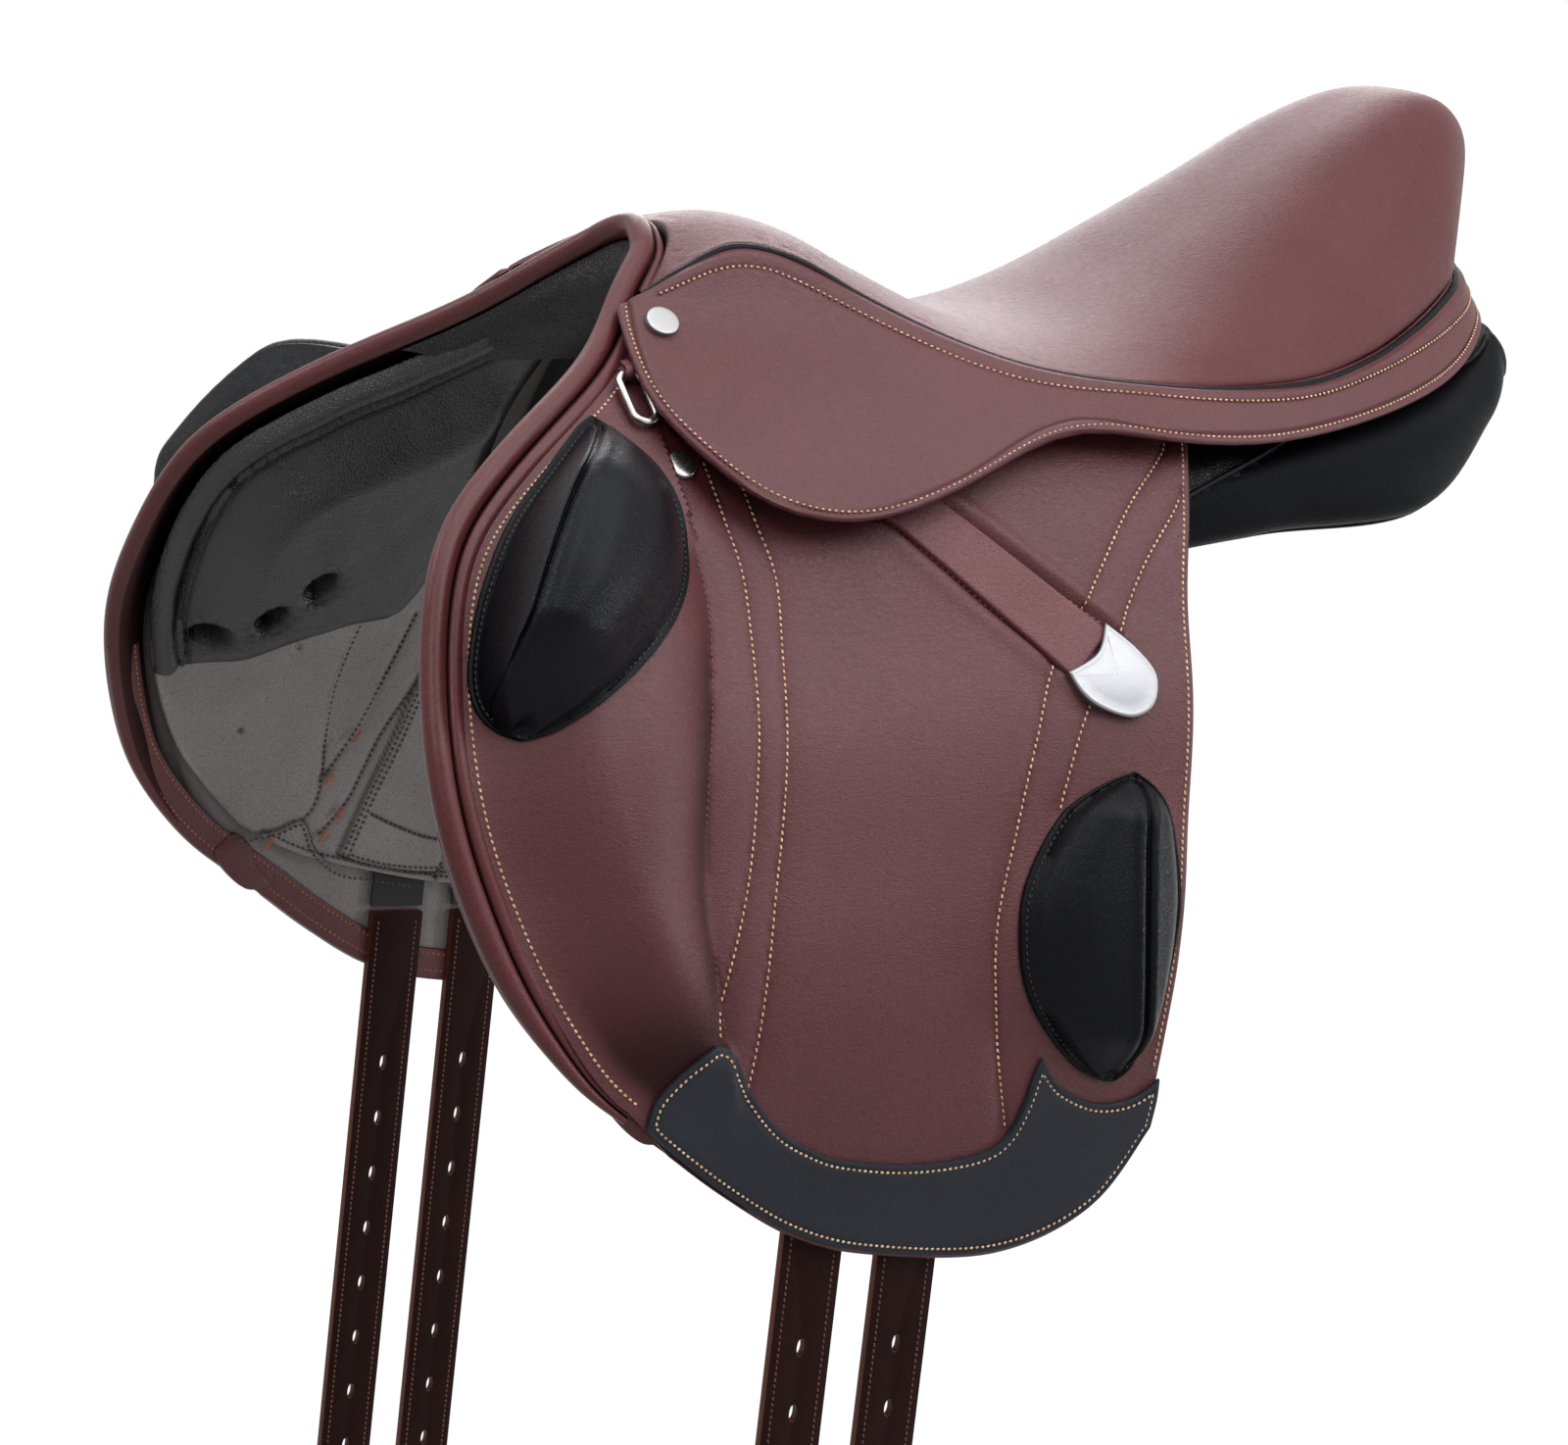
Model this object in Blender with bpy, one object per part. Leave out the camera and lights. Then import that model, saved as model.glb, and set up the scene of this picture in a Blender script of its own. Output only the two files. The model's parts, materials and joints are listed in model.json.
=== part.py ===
"""An eventing saddle with a single long flap on each side, as an assembly of its real pieces.

The frame: +X points to the horse's head, +Y to the near (left) side, +Z up. The origin lies on the
middle plane, below the deepest point of the seat, at the level where the panels rest on the horse.
Values are metres; mm() turns lists of millimetres into them.

Most leather follows one surface, the flank: the half width of the saddle at each place in side view
(x, z). Each layer lies between two distances from the flank, so the layers fit one on another.
"""

import math

import bmesh
import bpy
import numpy as np
from mathutils import Matrix, Vector

MM = 0.001


def mm(*values):
    """Lengths in millimetres, or rows of them, as metres."""
    return np.array(values, float) * MM


# The clearance that touching pieces keep
GAP = 0.3 * MM

# The flank: height and half width at the middle of the flap, from the crest of the pommel down
FLANK_PROFILE = mm((140, 0), (125, 20), (99, 51), (65, 95), (24, 133), (-19, 161), (-60, 187),
                   (-108, 205), (-150, 217), (-200, 221), (-330, 221))
FLANK_STEPS = 2
FLANK_X = np.arange(-100, 401, 50) * MM
# The saddle grows wider towards the back at the top, and the flaps toe in towards the front below
REAR_WIDENING = 18 * MM
WIDENING_END = 170 * MM
UPPER_LEVEL = 20 * MM
LOWER_LEVEL = -110 * MM
TOE_IN = 0.05
TOE_CENTRE = 170 * MM

# The layers of a flap, as distances from the flank, outwards
FLAP_THICKNESS = 4.0 * MM
STRAP_THICKNESS = 4.5 * MM
LINING_THICKNESS = 2.5 * MM
GUARD_THICKNESS = 2.0 * MM
WEB_THICKNESS = 2.5 * MM
ON_FLAP = FLAP_THICKNESS + GAP
STRAP_MIDDLE = -GAP - STRAP_THICKNESS / 2
LINING_OUTER = -STRAP_THICKNESS - 2 * GAP
LINING_INNER = LINING_OUTER - LINING_THICKNESS

# The front edge of a flap in side view, from the pommel to where its roll dies out, then the rest
FLAP_FRONT = mm((174, 125), (191, 112), (222, 86), (277, 57), (320, 24), (339, -25), (343, -75),
                (327, -137), (297, -181), (272, -203))
FLAP_REST = mm((252, -219), (228, -239), (196, -261), (160, -274), (100, -282), (54, -268),
               (27, -236), (14, -171), (-3, -90), (-21, -12), (-42, 37))
FLAP_TOP = mm((0, 42), (80, 42), (150, 40), (168, 60), (174, 84))
# The roll: a round outer bead and a lower inner one; distance in from the edge, distance out
ROLL_CREST = mm(167, 0, 131)
ROLL_OUTER = 11 * MM
ROLL_INNER = 7 * MM
ROLL_RISE = 8 * MM
ROLL_FALL = 3 * MM
ROLL_WIDTH = ROLL_OUTER + ROLL_INNER
# Its width falls to this share where it dies out
ROLL_END_SHARE = 0.3
ROLL_CLEARANCE = 0.8 * MM
# Above this height the seat, and not the flap, meets the roll
FLAP_HIGHEST = 96 * MM

LINING_OUTLINE = mm((-24, 30), (20, 62), (90, 84), (150, 100), (186, 84), (240, 58), (290, 28),
                    (317, -15), (322, -75), (303, -132), (268, -178), (236, -197), (196, -211),
                    (160, -221), (120, -228), (80, -228), (46, -216), (30, -190), (10, -105),
                    (-8, -40))

# Blocks, each as two chains of points from top to bottom, in side view
KNEE_FRONT = mm((234, 64), (257, 49), (286, 28), (306, 4), (318, -22), (319, -38), (310, -50))
KNEE_REAR = mm((229, 63), (213, 45), (208, 24), (214, 2), (238, -24), (268, -42), (298, -52))
KNEE_HEIGHT = 48 * MM
BLOCK_WELT = 2.2 * MM
THIGH_FRONT = mm((28, -83), (60, -96), (84, -124), (90, -150), (86, -172), (72, -194), (56, -210))
THIGH_REAR = mm((22, -84), (11, -98), (9, -120), (11, -142), (19, -170), (30, -195), (40, -212))
THIGH_HEIGHT = 17 * MM
# How far across from the front chain each row of a block lies, and its share of the height there
KNEE_ACROSS = (0, 0.06, 0.12, 0.22, 0.36, 0.55, 0.78, 0.93, 1)
KNEE_RISES = np.array((0, 0.05, 0.80, 1.0, 0.97, 0.80, 0.45, 0.04, 0))
THIGH_ACROSS = (0, 0.08, 0.3, 0.6, 0.8, 0.95, 1)
THIGH_RISES = np.array((0, 0.05, 0.7, 1.0, 0.75, 0.05, 0))
GUARD_TOP = mm((263, -205), (259, -194), (232, -174), (224, -178), (203, -214), (173, -230),
               (142, -236), (112, -236), (94, -229), (87, -212), (80, -196), (69, -211),
               (53, -220), (36, -220), (22, -212))
GUARD_EDGE = mm((26, -234), (54, -266), (100, -280), (160, -272), (196, -259), (228, -237),
                (256, -213))
PAD_FRONT = mm((212, 78), (232, 66), (264, 50), (300, 26), (318, -8), (323, -50), (316, -88))
PAD_REAR = mm((170, 70), (170, 56), (170, 40), (170, 20), (172, -8), (180, -38), (190, -62))
PAD_HEIGHT = 24 * MM
PAD_ACROSS = (0, 0.1, 0.3, 0.6, 0.88, 1)
PAD_RISES = np.array((0, 0.6, 1.0, 1.0, 0.7, 0))
PAD_EDGE = 3 * MM
TUFTS = mm((253, -32), (275, -49), (299, -66))
TUFT_DEPTH = 8 * MM
TUFT_RADIUS = 14 * MM

# The leather band that takes the loose end of the stirrup leather, and its metal end
KEEPER_BAND = mm((124, 38), (132, 34), (52, -40), (29, -24), (100, 36))
KEEPER_TIP = mm((27, -25), (38, -36), (50, -43), (38, -57), (24, -62), (12, -57), (9, -47),
                (15, -36))
KEEPER_THICKNESS = 3.0 * MM
TIP_THICKNESS = 4.0 * MM

# Ribs of the seat: centre x and z, then x, y and z at the seam, then how full the rib is
SEAT_RIBS = np.array([
    (152, 134, 186, 53, 109, 2.0),
    (138, 137, 165, 52, 121, 2.0),
    (118, 137, 140, 51, 130, 2.0),
    (92, 129, 112, 57, 124, 1.9),
    (62, 113, 80, 70, 105, 1.9),
    (32, 97.5, 50, 92, 89, 2.0),
    (-2, 87, 20, 111, 78, 2.2),
    (-40, 87, -20, 124, 71, 2.4),
    (-80, 101.5, -65, 130, 67, 2.8),
    (-120, 124, -115, 127, 67, 3.2),
    (-160, 148.5, -160, 111, 73, 3.4),
    (-200, 171, -195, 94, 82, 3.6),
    (-234, 183, -220, 80, 91, 3.6),
    (-262, 180, -237, 68, 98, 3.6),
    (-280, 165, -248, 54, 103, 3.3),
    (-282, 144, -256, 38, 106, 2.6),
    (-277, 116, -265, 18, 106, 2.0)]) * ([MM] * 5 + [1])
SEAT_SIDE_STEPS = 5
COVER_THICKNESS = 2.5 * MM
FOAM_THICKNESS = 8.0 * MM
TREE_THICKNESS = 5.0 * MM
TREE_SHARE = 4

# The lower edge of the skirt and strip, one point for each rib of the seat
SKIRT_EDGE = mm((199, 58, 104), (206, 81, 90), (208, 106, 72), (198, 128, 54), (172, 150, 31),
                (130, 158, 23), (80, 156, 35), (26, 147, 55), (-25, 152, 47), (-81, 147, 42),
                (-135, 138, 46), (-185, 119, 53), (-221, 97, 61), (-244, 78, 71), (-257, 61, 78),
                (-265, 42, 82), (-271, 20, 81))
SKIRT_THICKNESS = 3.5 * MM
BAND_ROWS = 2
SKIRT_ROWS = 5
PIPING_RADIUS = 2.0 * MM
PIPING_CLEARANCE = 0.9 * MM
# The fold on which the loose part of the skirt lifts: two points in side view
FOLD_FRONT = mm(207, 91)
FOLD_REAR = mm(20, 54)
FOLD_GAP = 1.5 * MM
FOLD_CLEARANCE = 0.4 * MM
LOOSE_LEAST = 8 * MM
# Above this height the skirt no longer follows the flank, and it starts to follow it between two x
SKIRT_HIGHEST = 100 * MM
SKIRT_FOLLOWS = mm(-60, 40)
SKIRT_FOLLOW_SHARE = 0.8
NAIL_PLACE = mm(183, 101)
NAIL_RADIUS = 7.5 * MM
NAIL_HEIGHT = 3.0 * MM
NAIL_LIFT = 1.0 * MM
STUD_PLACE = mm(199, 44)
STUD_RADIUS = 6.5 * MM

# The oval ring for a breastplate, hung on a leather chape
RING_PLACE = mm(208.5, 67.5)
RING_LENGTH = 30 * MM
RING_WIDTH = 14 * MM
RING_WIRE = 3.2 * MM
CHAPE_WIDTH = 4.0 * MM
CHAPE_LENGTH = 5.0 * MM
CHAPE_CLEARANCE = 0.6 * MM
CHAPE_THICKNESS = 1.6 * MM
RING_LIFT = 2 * MM
RING_BENDS = 6
RING_SIDES = 8

# The stirrup bar in its own plan: along the saddle, and out from the flank
BAR_PLACE = mm(112, 51)
BAR_LENGTH = 82 * MM
BAR_HEIGHT = 13 * MM
BAR_PLATE = 2.5 * MM
BAR_SLOT = 7.5 * MM
BAR_BLADE = 4.2 * MM
BAR_ROOT = 14 * MM
BAR_BEVEL = 4 * MM
BAR_FILLET = 3 * MM
# The blade reaches further back than the plate
BAR_REACH = 6 * MM
BAR_BASE = LINING_OUTER + 0.9 * MM
CATCH_LENGTH = 20 * MM
CATCH_LAP = 9 * MM
RIVET_RADIUS = 4.0 * MM
RIVET_HEIGHT = 1.2 * MM
# How far the rivets stand from the bar's root and from its open end
RIVET_PLACES = {"front": 9 * MM, "rear": 26 * MM}

# Sections of a panel: x, then pairs (y, z) round it, from the top of the channel outwards
PANEL_SECTIONS = mm(
    (-260, 50, 66, 64, 68, 79, 60, 82, 48, 68, 44, 52, 52),
    (-236, 36, 58, 74, 62, 103, 50, 104, 32, 74, 22, 39, 38),
    (-180, 36, 52, 80, 54, 128, 42, 130, 5, 80, 0, 37, 24),
    (-90, 35, 48, 85, 51, 136, 33, 136, 1, 82, 0, 36, 18),
    (-10, 34, 50, 85, 50, 134, 22, 138, -11, 84, 0, 36, 24),
    (70, 32, 62, 84, 43, 132, -8, 150, -42, 98, -10, 36, 42),
    (162, 34, 83.2, 71, 53.2, 130, -22, 158, -62, 112, -22, 44, 58))
PANEL_STEPS = 3
CHANNEL_THICKNESS = 3.0 * MM
CHANNEL_CROWN = 4.0 * MM
CHANNEL_LEVEL = 0.72

# The head of the tree: (y, z) down one side from the middle, and its width along the saddle
HEAD_ARCH = mm((0, 115.6), (22, 106), (43, 88), (65, 72), (86, 54), (123, 14), (146, -22))
HEAD_FRONT = 160 * MM
HEAD_REAR = 122 * MM
HEAD_THICKNESS = 9 * MM
PLATE_THICKNESS = 3 * MM
PLATE_SHARE = 8
FACING_THICKNESS = 2.5 * MM
FACING_FOOT = 84 * MM
FACING_LAP = 2 * MM
# How far the facing puffs in under the arch, at shares of the way from the roll to the head
FACING_PUFF = ((0, 0 * MM), (0.3, 5 * MM), (0.65, 6 * MM), (1, 0 * MM))

# Girth straps: the straps lean forward, and each hangs from a black web above it
STRAP_WIDTH = 28 * MM
STRAP_SPACING = 45 * MM
STRAP_LEAN = math.radians(6.0)
STRAP_TOP = mm(158, -237)
FIRST_HOLE = 78 * MM
HOLE_PITCH = 29 * MM
HOLE_COUNT = 9
HOLE_WIDTH = 3.6 * MM
HOLE_LENGTH = 8.0 * MM
STRAP_END = 46 * MM
STRAP_END_CUT = 9 * MM
WEB_TOP = 34 * MM

SIDES = {"near": 1, "off": -1}

FINISHES = {
    "brown_leather": ((0.120, 0.036, 0.030), 0.42, 0.0),
    "black_leather": ((0.012, 0.012, 0.016), 0.40, 0.0),
    "strap_leather": ((0.045, 0.013, 0.008), 0.50, 0.0),
    "lining": ((0.130, 0.112, 0.110), 0.75, 0.0),
    "webbing": ((0.010, 0.010, 0.011), 0.85, 0.0),
    "nickel": ((0.72, 0.71, 0.69), 0.18, 1.0),
    "steel": ((0.42, 0.42, 0.43), 0.35, 1.0),
    "tree_moulding": ((0.030, 0.030, 0.032), 0.60, 0.0),
    "foam": ((0.600, 0.560, 0.420), 0.90, 0.0),
}


# Curves

def smooth(points, steps, closed=False):
    """Rows read from one smooth curve through the given rows, steps to a span."""
    rows = np.asarray(points, float)
    count = len(rows)
    found = []
    for i in range(count if closed else count - 1):
        around = [(i + k) % count if closed else min(max(i + k, 0), count - 1) for k in (-1, 0, 1, 2)]
        a, b, c, d = rows[around]
        for step in range(steps):
            t = step / steps
            found.append(b + 0.5 * t * (c - a + t * (2 * a - 5 * b + 4 * c - d
                                                     + t * (3 * (b - c) + d - a))))
    if not closed:
        found.append(rows[-1])
    return np.array(found)


def ease(low, high, value):
    """0 below low, 1 above high, and a smooth step between them."""
    share = np.clip((value - low) / (high - low), 0, 1)
    return share * share * (3 - 2 * share)


def unit(vector):
    return vector / max(np.linalg.norm(vector), 1e-12)


# The flank

def make_flank():
    """The flank at its stations: heights, places (x, z) to points, and the ways out from them."""
    line = smooth(FLANK_PROFILE, FLANK_STEPS)[::-1]
    heights = line[:, 0]
    upper = ease(LOWER_LEVEL, UPPER_LEVEL, heights)[None, :]
    x = FLANK_X[:, None]
    widening = REAR_WIDENING * (1 - ease(0, WIDENING_END, x))
    width = line[:, 1][None, :] + upper * widening + (1 - upper) * TOE_IN * (TOE_CENTRE - x)
    rise_x, rise_z = np.gradient(width, FLANK_X, heights)
    out = np.stack([-rise_x, np.ones_like(width), -rise_z], -1)
    out /= np.linalg.norm(out, axis=-1, keepdims=True)
    # At the crest the way out is straight up
    out[:, -1] = (0, 0, 1)
    return heights, width, out


FLANK_Z, FLANK_WIDTH, FLANK_OUT = make_flank()


def flank_cell(x, z):
    """The four stations round a place, each with its share."""
    i = int(np.clip(np.searchsorted(FLANK_X, x) - 1, 0, len(FLANK_X) - 2))
    j = int(np.clip(np.searchsorted(FLANK_Z, z) - 1, 0, len(FLANK_Z) - 2))
    a = (x - FLANK_X[i]) / (FLANK_X[i + 1] - FLANK_X[i])
    b = (z - FLANK_Z[j]) / (FLANK_Z[j + 1] - FLANK_Z[j])
    return ((i, j, (1 - a) * (1 - b)), (i + 1, j, a * (1 - b)), (i, j + 1, (1 - a) * b),
            (i + 1, j + 1, a * b))


def flank_point(x, z, distance=0.0):
    """The point at a distance out from the flank, on the near side."""
    cell = flank_cell(x, z)
    width = sum(share * FLANK_WIDTH[i, j] for i, j, share in cell)
    out = sum(share * FLANK_OUT[i, j] for i, j, share in cell)
    return np.array((x, width, z)) + distance * out


def flank_out(x, z):
    return unit(sum(share * FLANK_OUT[i, j] for i, j, share in flank_cell(x, z)))


# Solids

def make_material(name):
    colour, roughness, metallic = FINISHES[name]
    material = bpy.data.materials.new(name)
    material.use_nodes = True
    shader = material.node_tree.nodes["Principled BSDF"]
    shader.inputs["Base Color"].default_value = (*colour, 1)
    shader.inputs["Roughness"].default_value = roughness
    shader.inputs["Metallic"].default_value = metallic
    material.diffuse_color = (*colour, 1)
    return material


def finish(bm, name, material, side=1, place=None):
    """Turns a bmesh into a named object. The off side is the near side's mirror image."""
    if side < 0:
        bmesh.ops.scale(bm, vec=(1, -1, 1), verts=bm.verts)
    bmesh.ops.recalc_face_normals(bm, faces=bm.faces)
    mesh = bpy.data.meshes.new(name)
    if place is not None:
        bmesh.ops.translate(bm, vec=-Vector(place), verts=bm.verts)
    bm.to_mesh(mesh)
    bm.free()
    mesh.shade_smooth()
    mesh.set_sharp_from_angle(angle=math.radians(35))
    mesh.materials.append(bpy.data.materials.get(material) or make_material(material))
    obj = bpy.data.objects.new(name, mesh)
    if place is not None:
        obj.location = place
    bpy.context.scene.collection.objects.link(obj)
    return obj


def grid_solid(top, bottom):
    """A closed solid between two grids of points of the same size."""
    bm = bmesh.new()
    rows, columns = len(top), len(top[0])
    layers = [[[bm.verts.new(p) for p in row] for row in grid] for grid in (top, bottom)]
    for i in range(rows - 1):
        for j in range(columns - 1):
            for layer in layers:
                bm.faces.new((layer[i][j], layer[i + 1][j], layer[i + 1][j + 1], layer[i][j + 1]))
    rim = ([(i, 0) for i in range(rows)] + [(rows - 1, j) for j in range(1, columns)]
           + [(i, columns - 1) for i in range(rows - 2, -1, -1)]
           + [(0, j) for j in range(columns - 2, 0, -1)])
    for (a, b), (c, d) in zip(rim, rim[1:] + rim[:1]):
        bm.faces.new((layers[0][a][b], layers[0][c][d], layers[1][c][d], layers[1][a][b]))
    return bm


def tube_solid(rings):
    """A closed solid through rings of points, with flat ends."""
    bm = bmesh.new()
    made = [[bm.verts.new(p) for p in ring] for ring in rings]
    count = len(made[0])
    for a, b in zip(made, made[1:]):
        for i in range(count):
            bm.faces.new((a[i], a[(i + 1) % count], b[(i + 1) % count], b[i]))
    bm.faces.new(made[0])
    bm.faces.new(made[-1])
    return bm


def cut_at_stations(bm):
    """Cuts a flat shape (x, rise, z) along the flank's stations, so that it can lie on the flank."""
    for axis, places in ((0, FLANK_X), (2, FLANK_Z)):
        normal = Vector((1, 0, 0)) if axis == 0 else Vector((0, 0, 1))
        for place in places:
            bmesh.ops.bisect_plane(bm, geom=bm.verts[:] + bm.edges[:] + bm.faces[:],
                                   dist=GAP, plane_co=normal * place, plane_no=normal)


def wrap(flat, base, rise_from, way=1):
    """Lays a flat shape on the flank, from base to rise_from and, where it has a rise, further."""
    cut_at_stations(flat)
    bm = bmesh.new()
    low, high = {}, {}
    for vert in flat.verts:
        x, rise, z = vert.co
        low[vert] = bm.verts.new(flank_point(x, z, base))
        high[vert] = bm.verts.new(flank_point(x, z, rise_from + way * rise))
    for face in flat.faces:
        bm.faces.new([low[v] for v in reversed(face.verts)])
        bm.faces.new([high[v] for v in face.verts])
    for edge in flat.edges:
        if edge.is_boundary:
            a, b = edge.verts
            bm.faces.new((low[a], low[b], high[b], high[a]))
    flat.free()
    return bm


def flat_shape(outline):
    bm = bmesh.new()
    bm.faces.new([bm.verts.new((x, 0, z)) for x, z in outline])
    return bm


def flat_pad(front, rear, rises, shares, top_end=0.25, low_end=0.25, steps=2, rise_at=None):
    """A flat shape of ribs from the front chain to the rear one, which rises between them."""
    bm = bmesh.new()
    front, rear = smooth(front, steps), smooth(rear, steps)
    ends = np.linspace(0, 1, len(front))
    grid = []
    for f, r, along in zip(front, rear, ends):
        end = ease(0, top_end, along + 0.02) * ease(0, low_end, 1 - along + 0.02)
        row = []
        for share, rise in zip(shares, rises):
            x, z = f + (r - f) * share
            height = rise * end if rise_at is None else rise_at(x, z, rise * end)
            row.append(bm.verts.new((x, height, z)))
        grid.append(row)
    for a, b in zip(grid, grid[1:]):
        for i in range(len(a) - 1):
            bm.faces.new((a[i], b[i], b[i + 1], a[i + 1]))
    return bm


def sweep(path, ways_in, ways_out, section):
    """Rings of a section carried along a path; the section may change along it."""
    return [[point + a * d_in + b * d_out for a, b in section(i)]
            for i, (point, d_in, d_out) in enumerate(zip(path, ways_in, ways_out))]


def disc_solid(centre, axis, radius, height, sides=14):
    """A round nail or stud with a low dome, standing on centre along axis."""
    axis = unit(axis)
    across = unit(np.cross(axis, (1, 0, 0)))
    up = np.cross(axis, across)
    rings = []
    for share, level in ((0.94, 0.0), (1.0, 0.5), (0.6, 1.0)):
        turn = [2 * math.pi * i / sides for i in range(sides)]
        rings.append([centre + axis * height * level
                      + radius * share * (math.cos(a) * across + math.sin(a) * up) for a in turn])
    return tube_solid(rings)


# The front roll and the flaps

def roll_path():
    """Points of the flap's front edge with their ways in and out, from the crest to its end."""
    edge = smooth(FLAP_FRONT, 2)
    points = [ROLL_CREST] + [flank_point(x, z) for x, z in edge]
    outs = [np.array((0.0, 0.0, 1.0))] + [flank_out(x, z) for x, z in edge]
    ins = []
    for i, (point, out) in enumerate(zip(points, outs)):
        along = unit(points[min(i + 1, len(points) - 1)] - points[max(i - 1, 0)])
        if i == 0:
            along = np.array((0.0, 1.0, 0.0))
        ins.append(unit(np.cross(out, along)))
        if ins[-1][0] > 0 and i < 8:
            ins[-1] = -ins[-1]
    for i in range(1, len(ins)):
        if np.dot(ins[i], ins[i - 1]) < 0:
            ins[i] = -ins[i]
    return points, ins, outs


def roll_taper(count):
    """The roll's width at each point of its path, as a share of its full width."""
    return 1 - (1 - ROLL_END_SHARE) * ease(0.75, 1.0, np.arange(count) / (count - 1))


def roll_section(share, width, crest):
    """The double bead: share shrinks its height, width its width, crest its inner bead."""
    outer, rise, fall = ROLL_OUTER * width, ROLL_RISE * share, ROLL_FALL * share
    inner = ROLL_INNER * width * crest
    round_bead = [(outer / 2 - outer / 2 * math.cos(a),
                   (rise - outer * 0.2) + outer * 0.2 * math.sin(a) if math.sin(a) > 0.9 else
                   rise * (0.5 + 0.5 * math.sin(a)) - fall * (0.5 - 0.5 * math.sin(a)))
                  for a in (-math.pi / 4, 0, math.pi / 4, math.pi / 2, 3 * math.pi / 4)]
    return round_bead + [(outer, rise * 0.35), (outer + inner * 0.3, rise * 0.68),
                         (outer + inner * 0.7, rise * 0.66), (outer + inner, rise * 0.3),
                         (outer + inner, 0.0), (outer, -fall * 0.6), (outer / 2, -fall)]


def make_front_roll():
    points, ins, outs = roll_path()
    count = len(points)
    taper = roll_taper(count)

    def section(i):
        share = 1 - 0.65 * ease(0.72, 1.0, i / (count - 1))
        return roll_section(share, taper[i], 0.25 + 0.75 * ease(0.0, 0.2, i / (count - 1)))

    near = sweep(points, ins, outs, section)
    off = [[p * (1, -1, 1) for p in ring] for ring in near[:0:-1]]
    return finish(tube_solid(off + near), "front_roll", "brown_leather")


def flap_outline():
    points, ins, _outs = roll_path()
    inset = [p + d * (ROLL_WIDTH * width + ROLL_CLEARANCE)
             for p, d, width in zip(points, ins, roll_taper(len(points)))]
    front = [(p[0], p[2]) for p in inset if p[2] < FLAP_HIGHEST]
    rest = smooth(FLAP_REST, 1)
    return front + [tuple(p) for p in rest] + [tuple(p) for p in FLAP_TOP]


def make_flap(name, side):
    finish(wrap(flat_shape(flap_outline()), 0, FLAP_THICKNESS), f"{name}_flap",
           "brown_leather", side)
    finish(wrap(flat_shape(LINING_OUTLINE), LINING_INNER, LINING_OUTER), f"{name}_sweat_flap",
           "lining", side)
    guard = [tuple(p) for p in GUARD_TOP] + [tuple(p) for p in smooth(GUARD_EDGE, 1)]
    finish(wrap(flat_shape(guard), ON_FLAP, ON_FLAP + GUARD_THICKNESS), f"{name}_flap_guard",
           "black_leather", side)


def make_blocks(name, side):
    knee = flat_pad(KNEE_FRONT, KNEE_REAR, KNEE_RISES * KNEE_HEIGHT, KNEE_ACROSS, 0.5, 0.3)
    thigh = flat_pad(THIGH_FRONT, THIGH_REAR, THIGH_RISES * THIGH_HEIGHT, THIGH_ACROSS)
    for label, flat in (("knee", knee), ("thigh", thigh)):
        finish(wrap(flat, ON_FLAP, ON_FLAP + BLOCK_WELT), f"{name}_{label}_block",
               "black_leather", side)


def make_keeper(name, side):
    finish(wrap(flat_shape(KEEPER_BAND), ON_FLAP, ON_FLAP + KEEPER_THICKNESS),
           f"{name}_leather_keeper", "brown_leather", side)
    finish(wrap(flat_shape(KEEPER_TIP), ON_FLAP, ON_FLAP + TIP_THICKNESS),
           f"{name}_keeper_tip", "nickel", side)


# The seat and the tree under it

def seat_grid():
    """Points of the seat's surface, rib by rib from off side to near side, and the ways out."""
    ribs = smooth(SEAT_RIBS, 2)
    v = np.linspace(-1, 1, 2 * SEAT_SIDE_STEPS + 1)
    size = np.abs(v)[None, :]
    cx, cz, ex, ey, ez, full = (ribs[:, k][:, None] for k in range(6))
    points = np.stack([cx + (ex - cx) * size ** 2, ey * v[None, :] + 0 * cx,
                       cz + (ez - cz) * size ** full], -1)
    along = np.gradient(points, axis=0)
    across = np.gradient(points, axis=1)
    outs = np.cross(across, along)
    outs /= np.maximum(np.linalg.norm(outs, axis=-1, keepdims=True), 1e-12)
    return points, outs


def make_seat():
    points, outs = seat_grid()
    level = 0.0
    middle = slice(SEAT_SIDE_STEPS - TREE_SHARE, SEAT_SIDE_STEPS + TREE_SHARE + 1)
    layers = (("seat_cover", COVER_THICKNESS, "brown_leather", (slice(None), slice(None))),
              ("seat_foam", FOAM_THICKNESS, "foam", (slice(2, -1), slice(None))),
              ("tree_shell", TREE_THICKNESS, "tree_moulding", (slice(2, -4), middle)))
    for name, thickness, material, part in layers:
        top = (points - outs * level)[part]
        bottom = (points - outs * (level + thickness))[part]
        finish(grid_solid(top, bottom), name, material)
        level += thickness + GAP


def head_line(steps=2):
    """The head's middle line over the arch, from off side to near side, and the ways out."""
    near = smooth(HEAD_ARCH, steps)
    line = np.concatenate([near[:0:-1] * (-1, 1), near])
    along = np.gradient(line, axis=0)
    outs = np.stack([-along[:, 1], along[:, 0]], -1)
    outs /= np.linalg.norm(outs, axis=-1, keepdims=True)
    return line, outs


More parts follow.
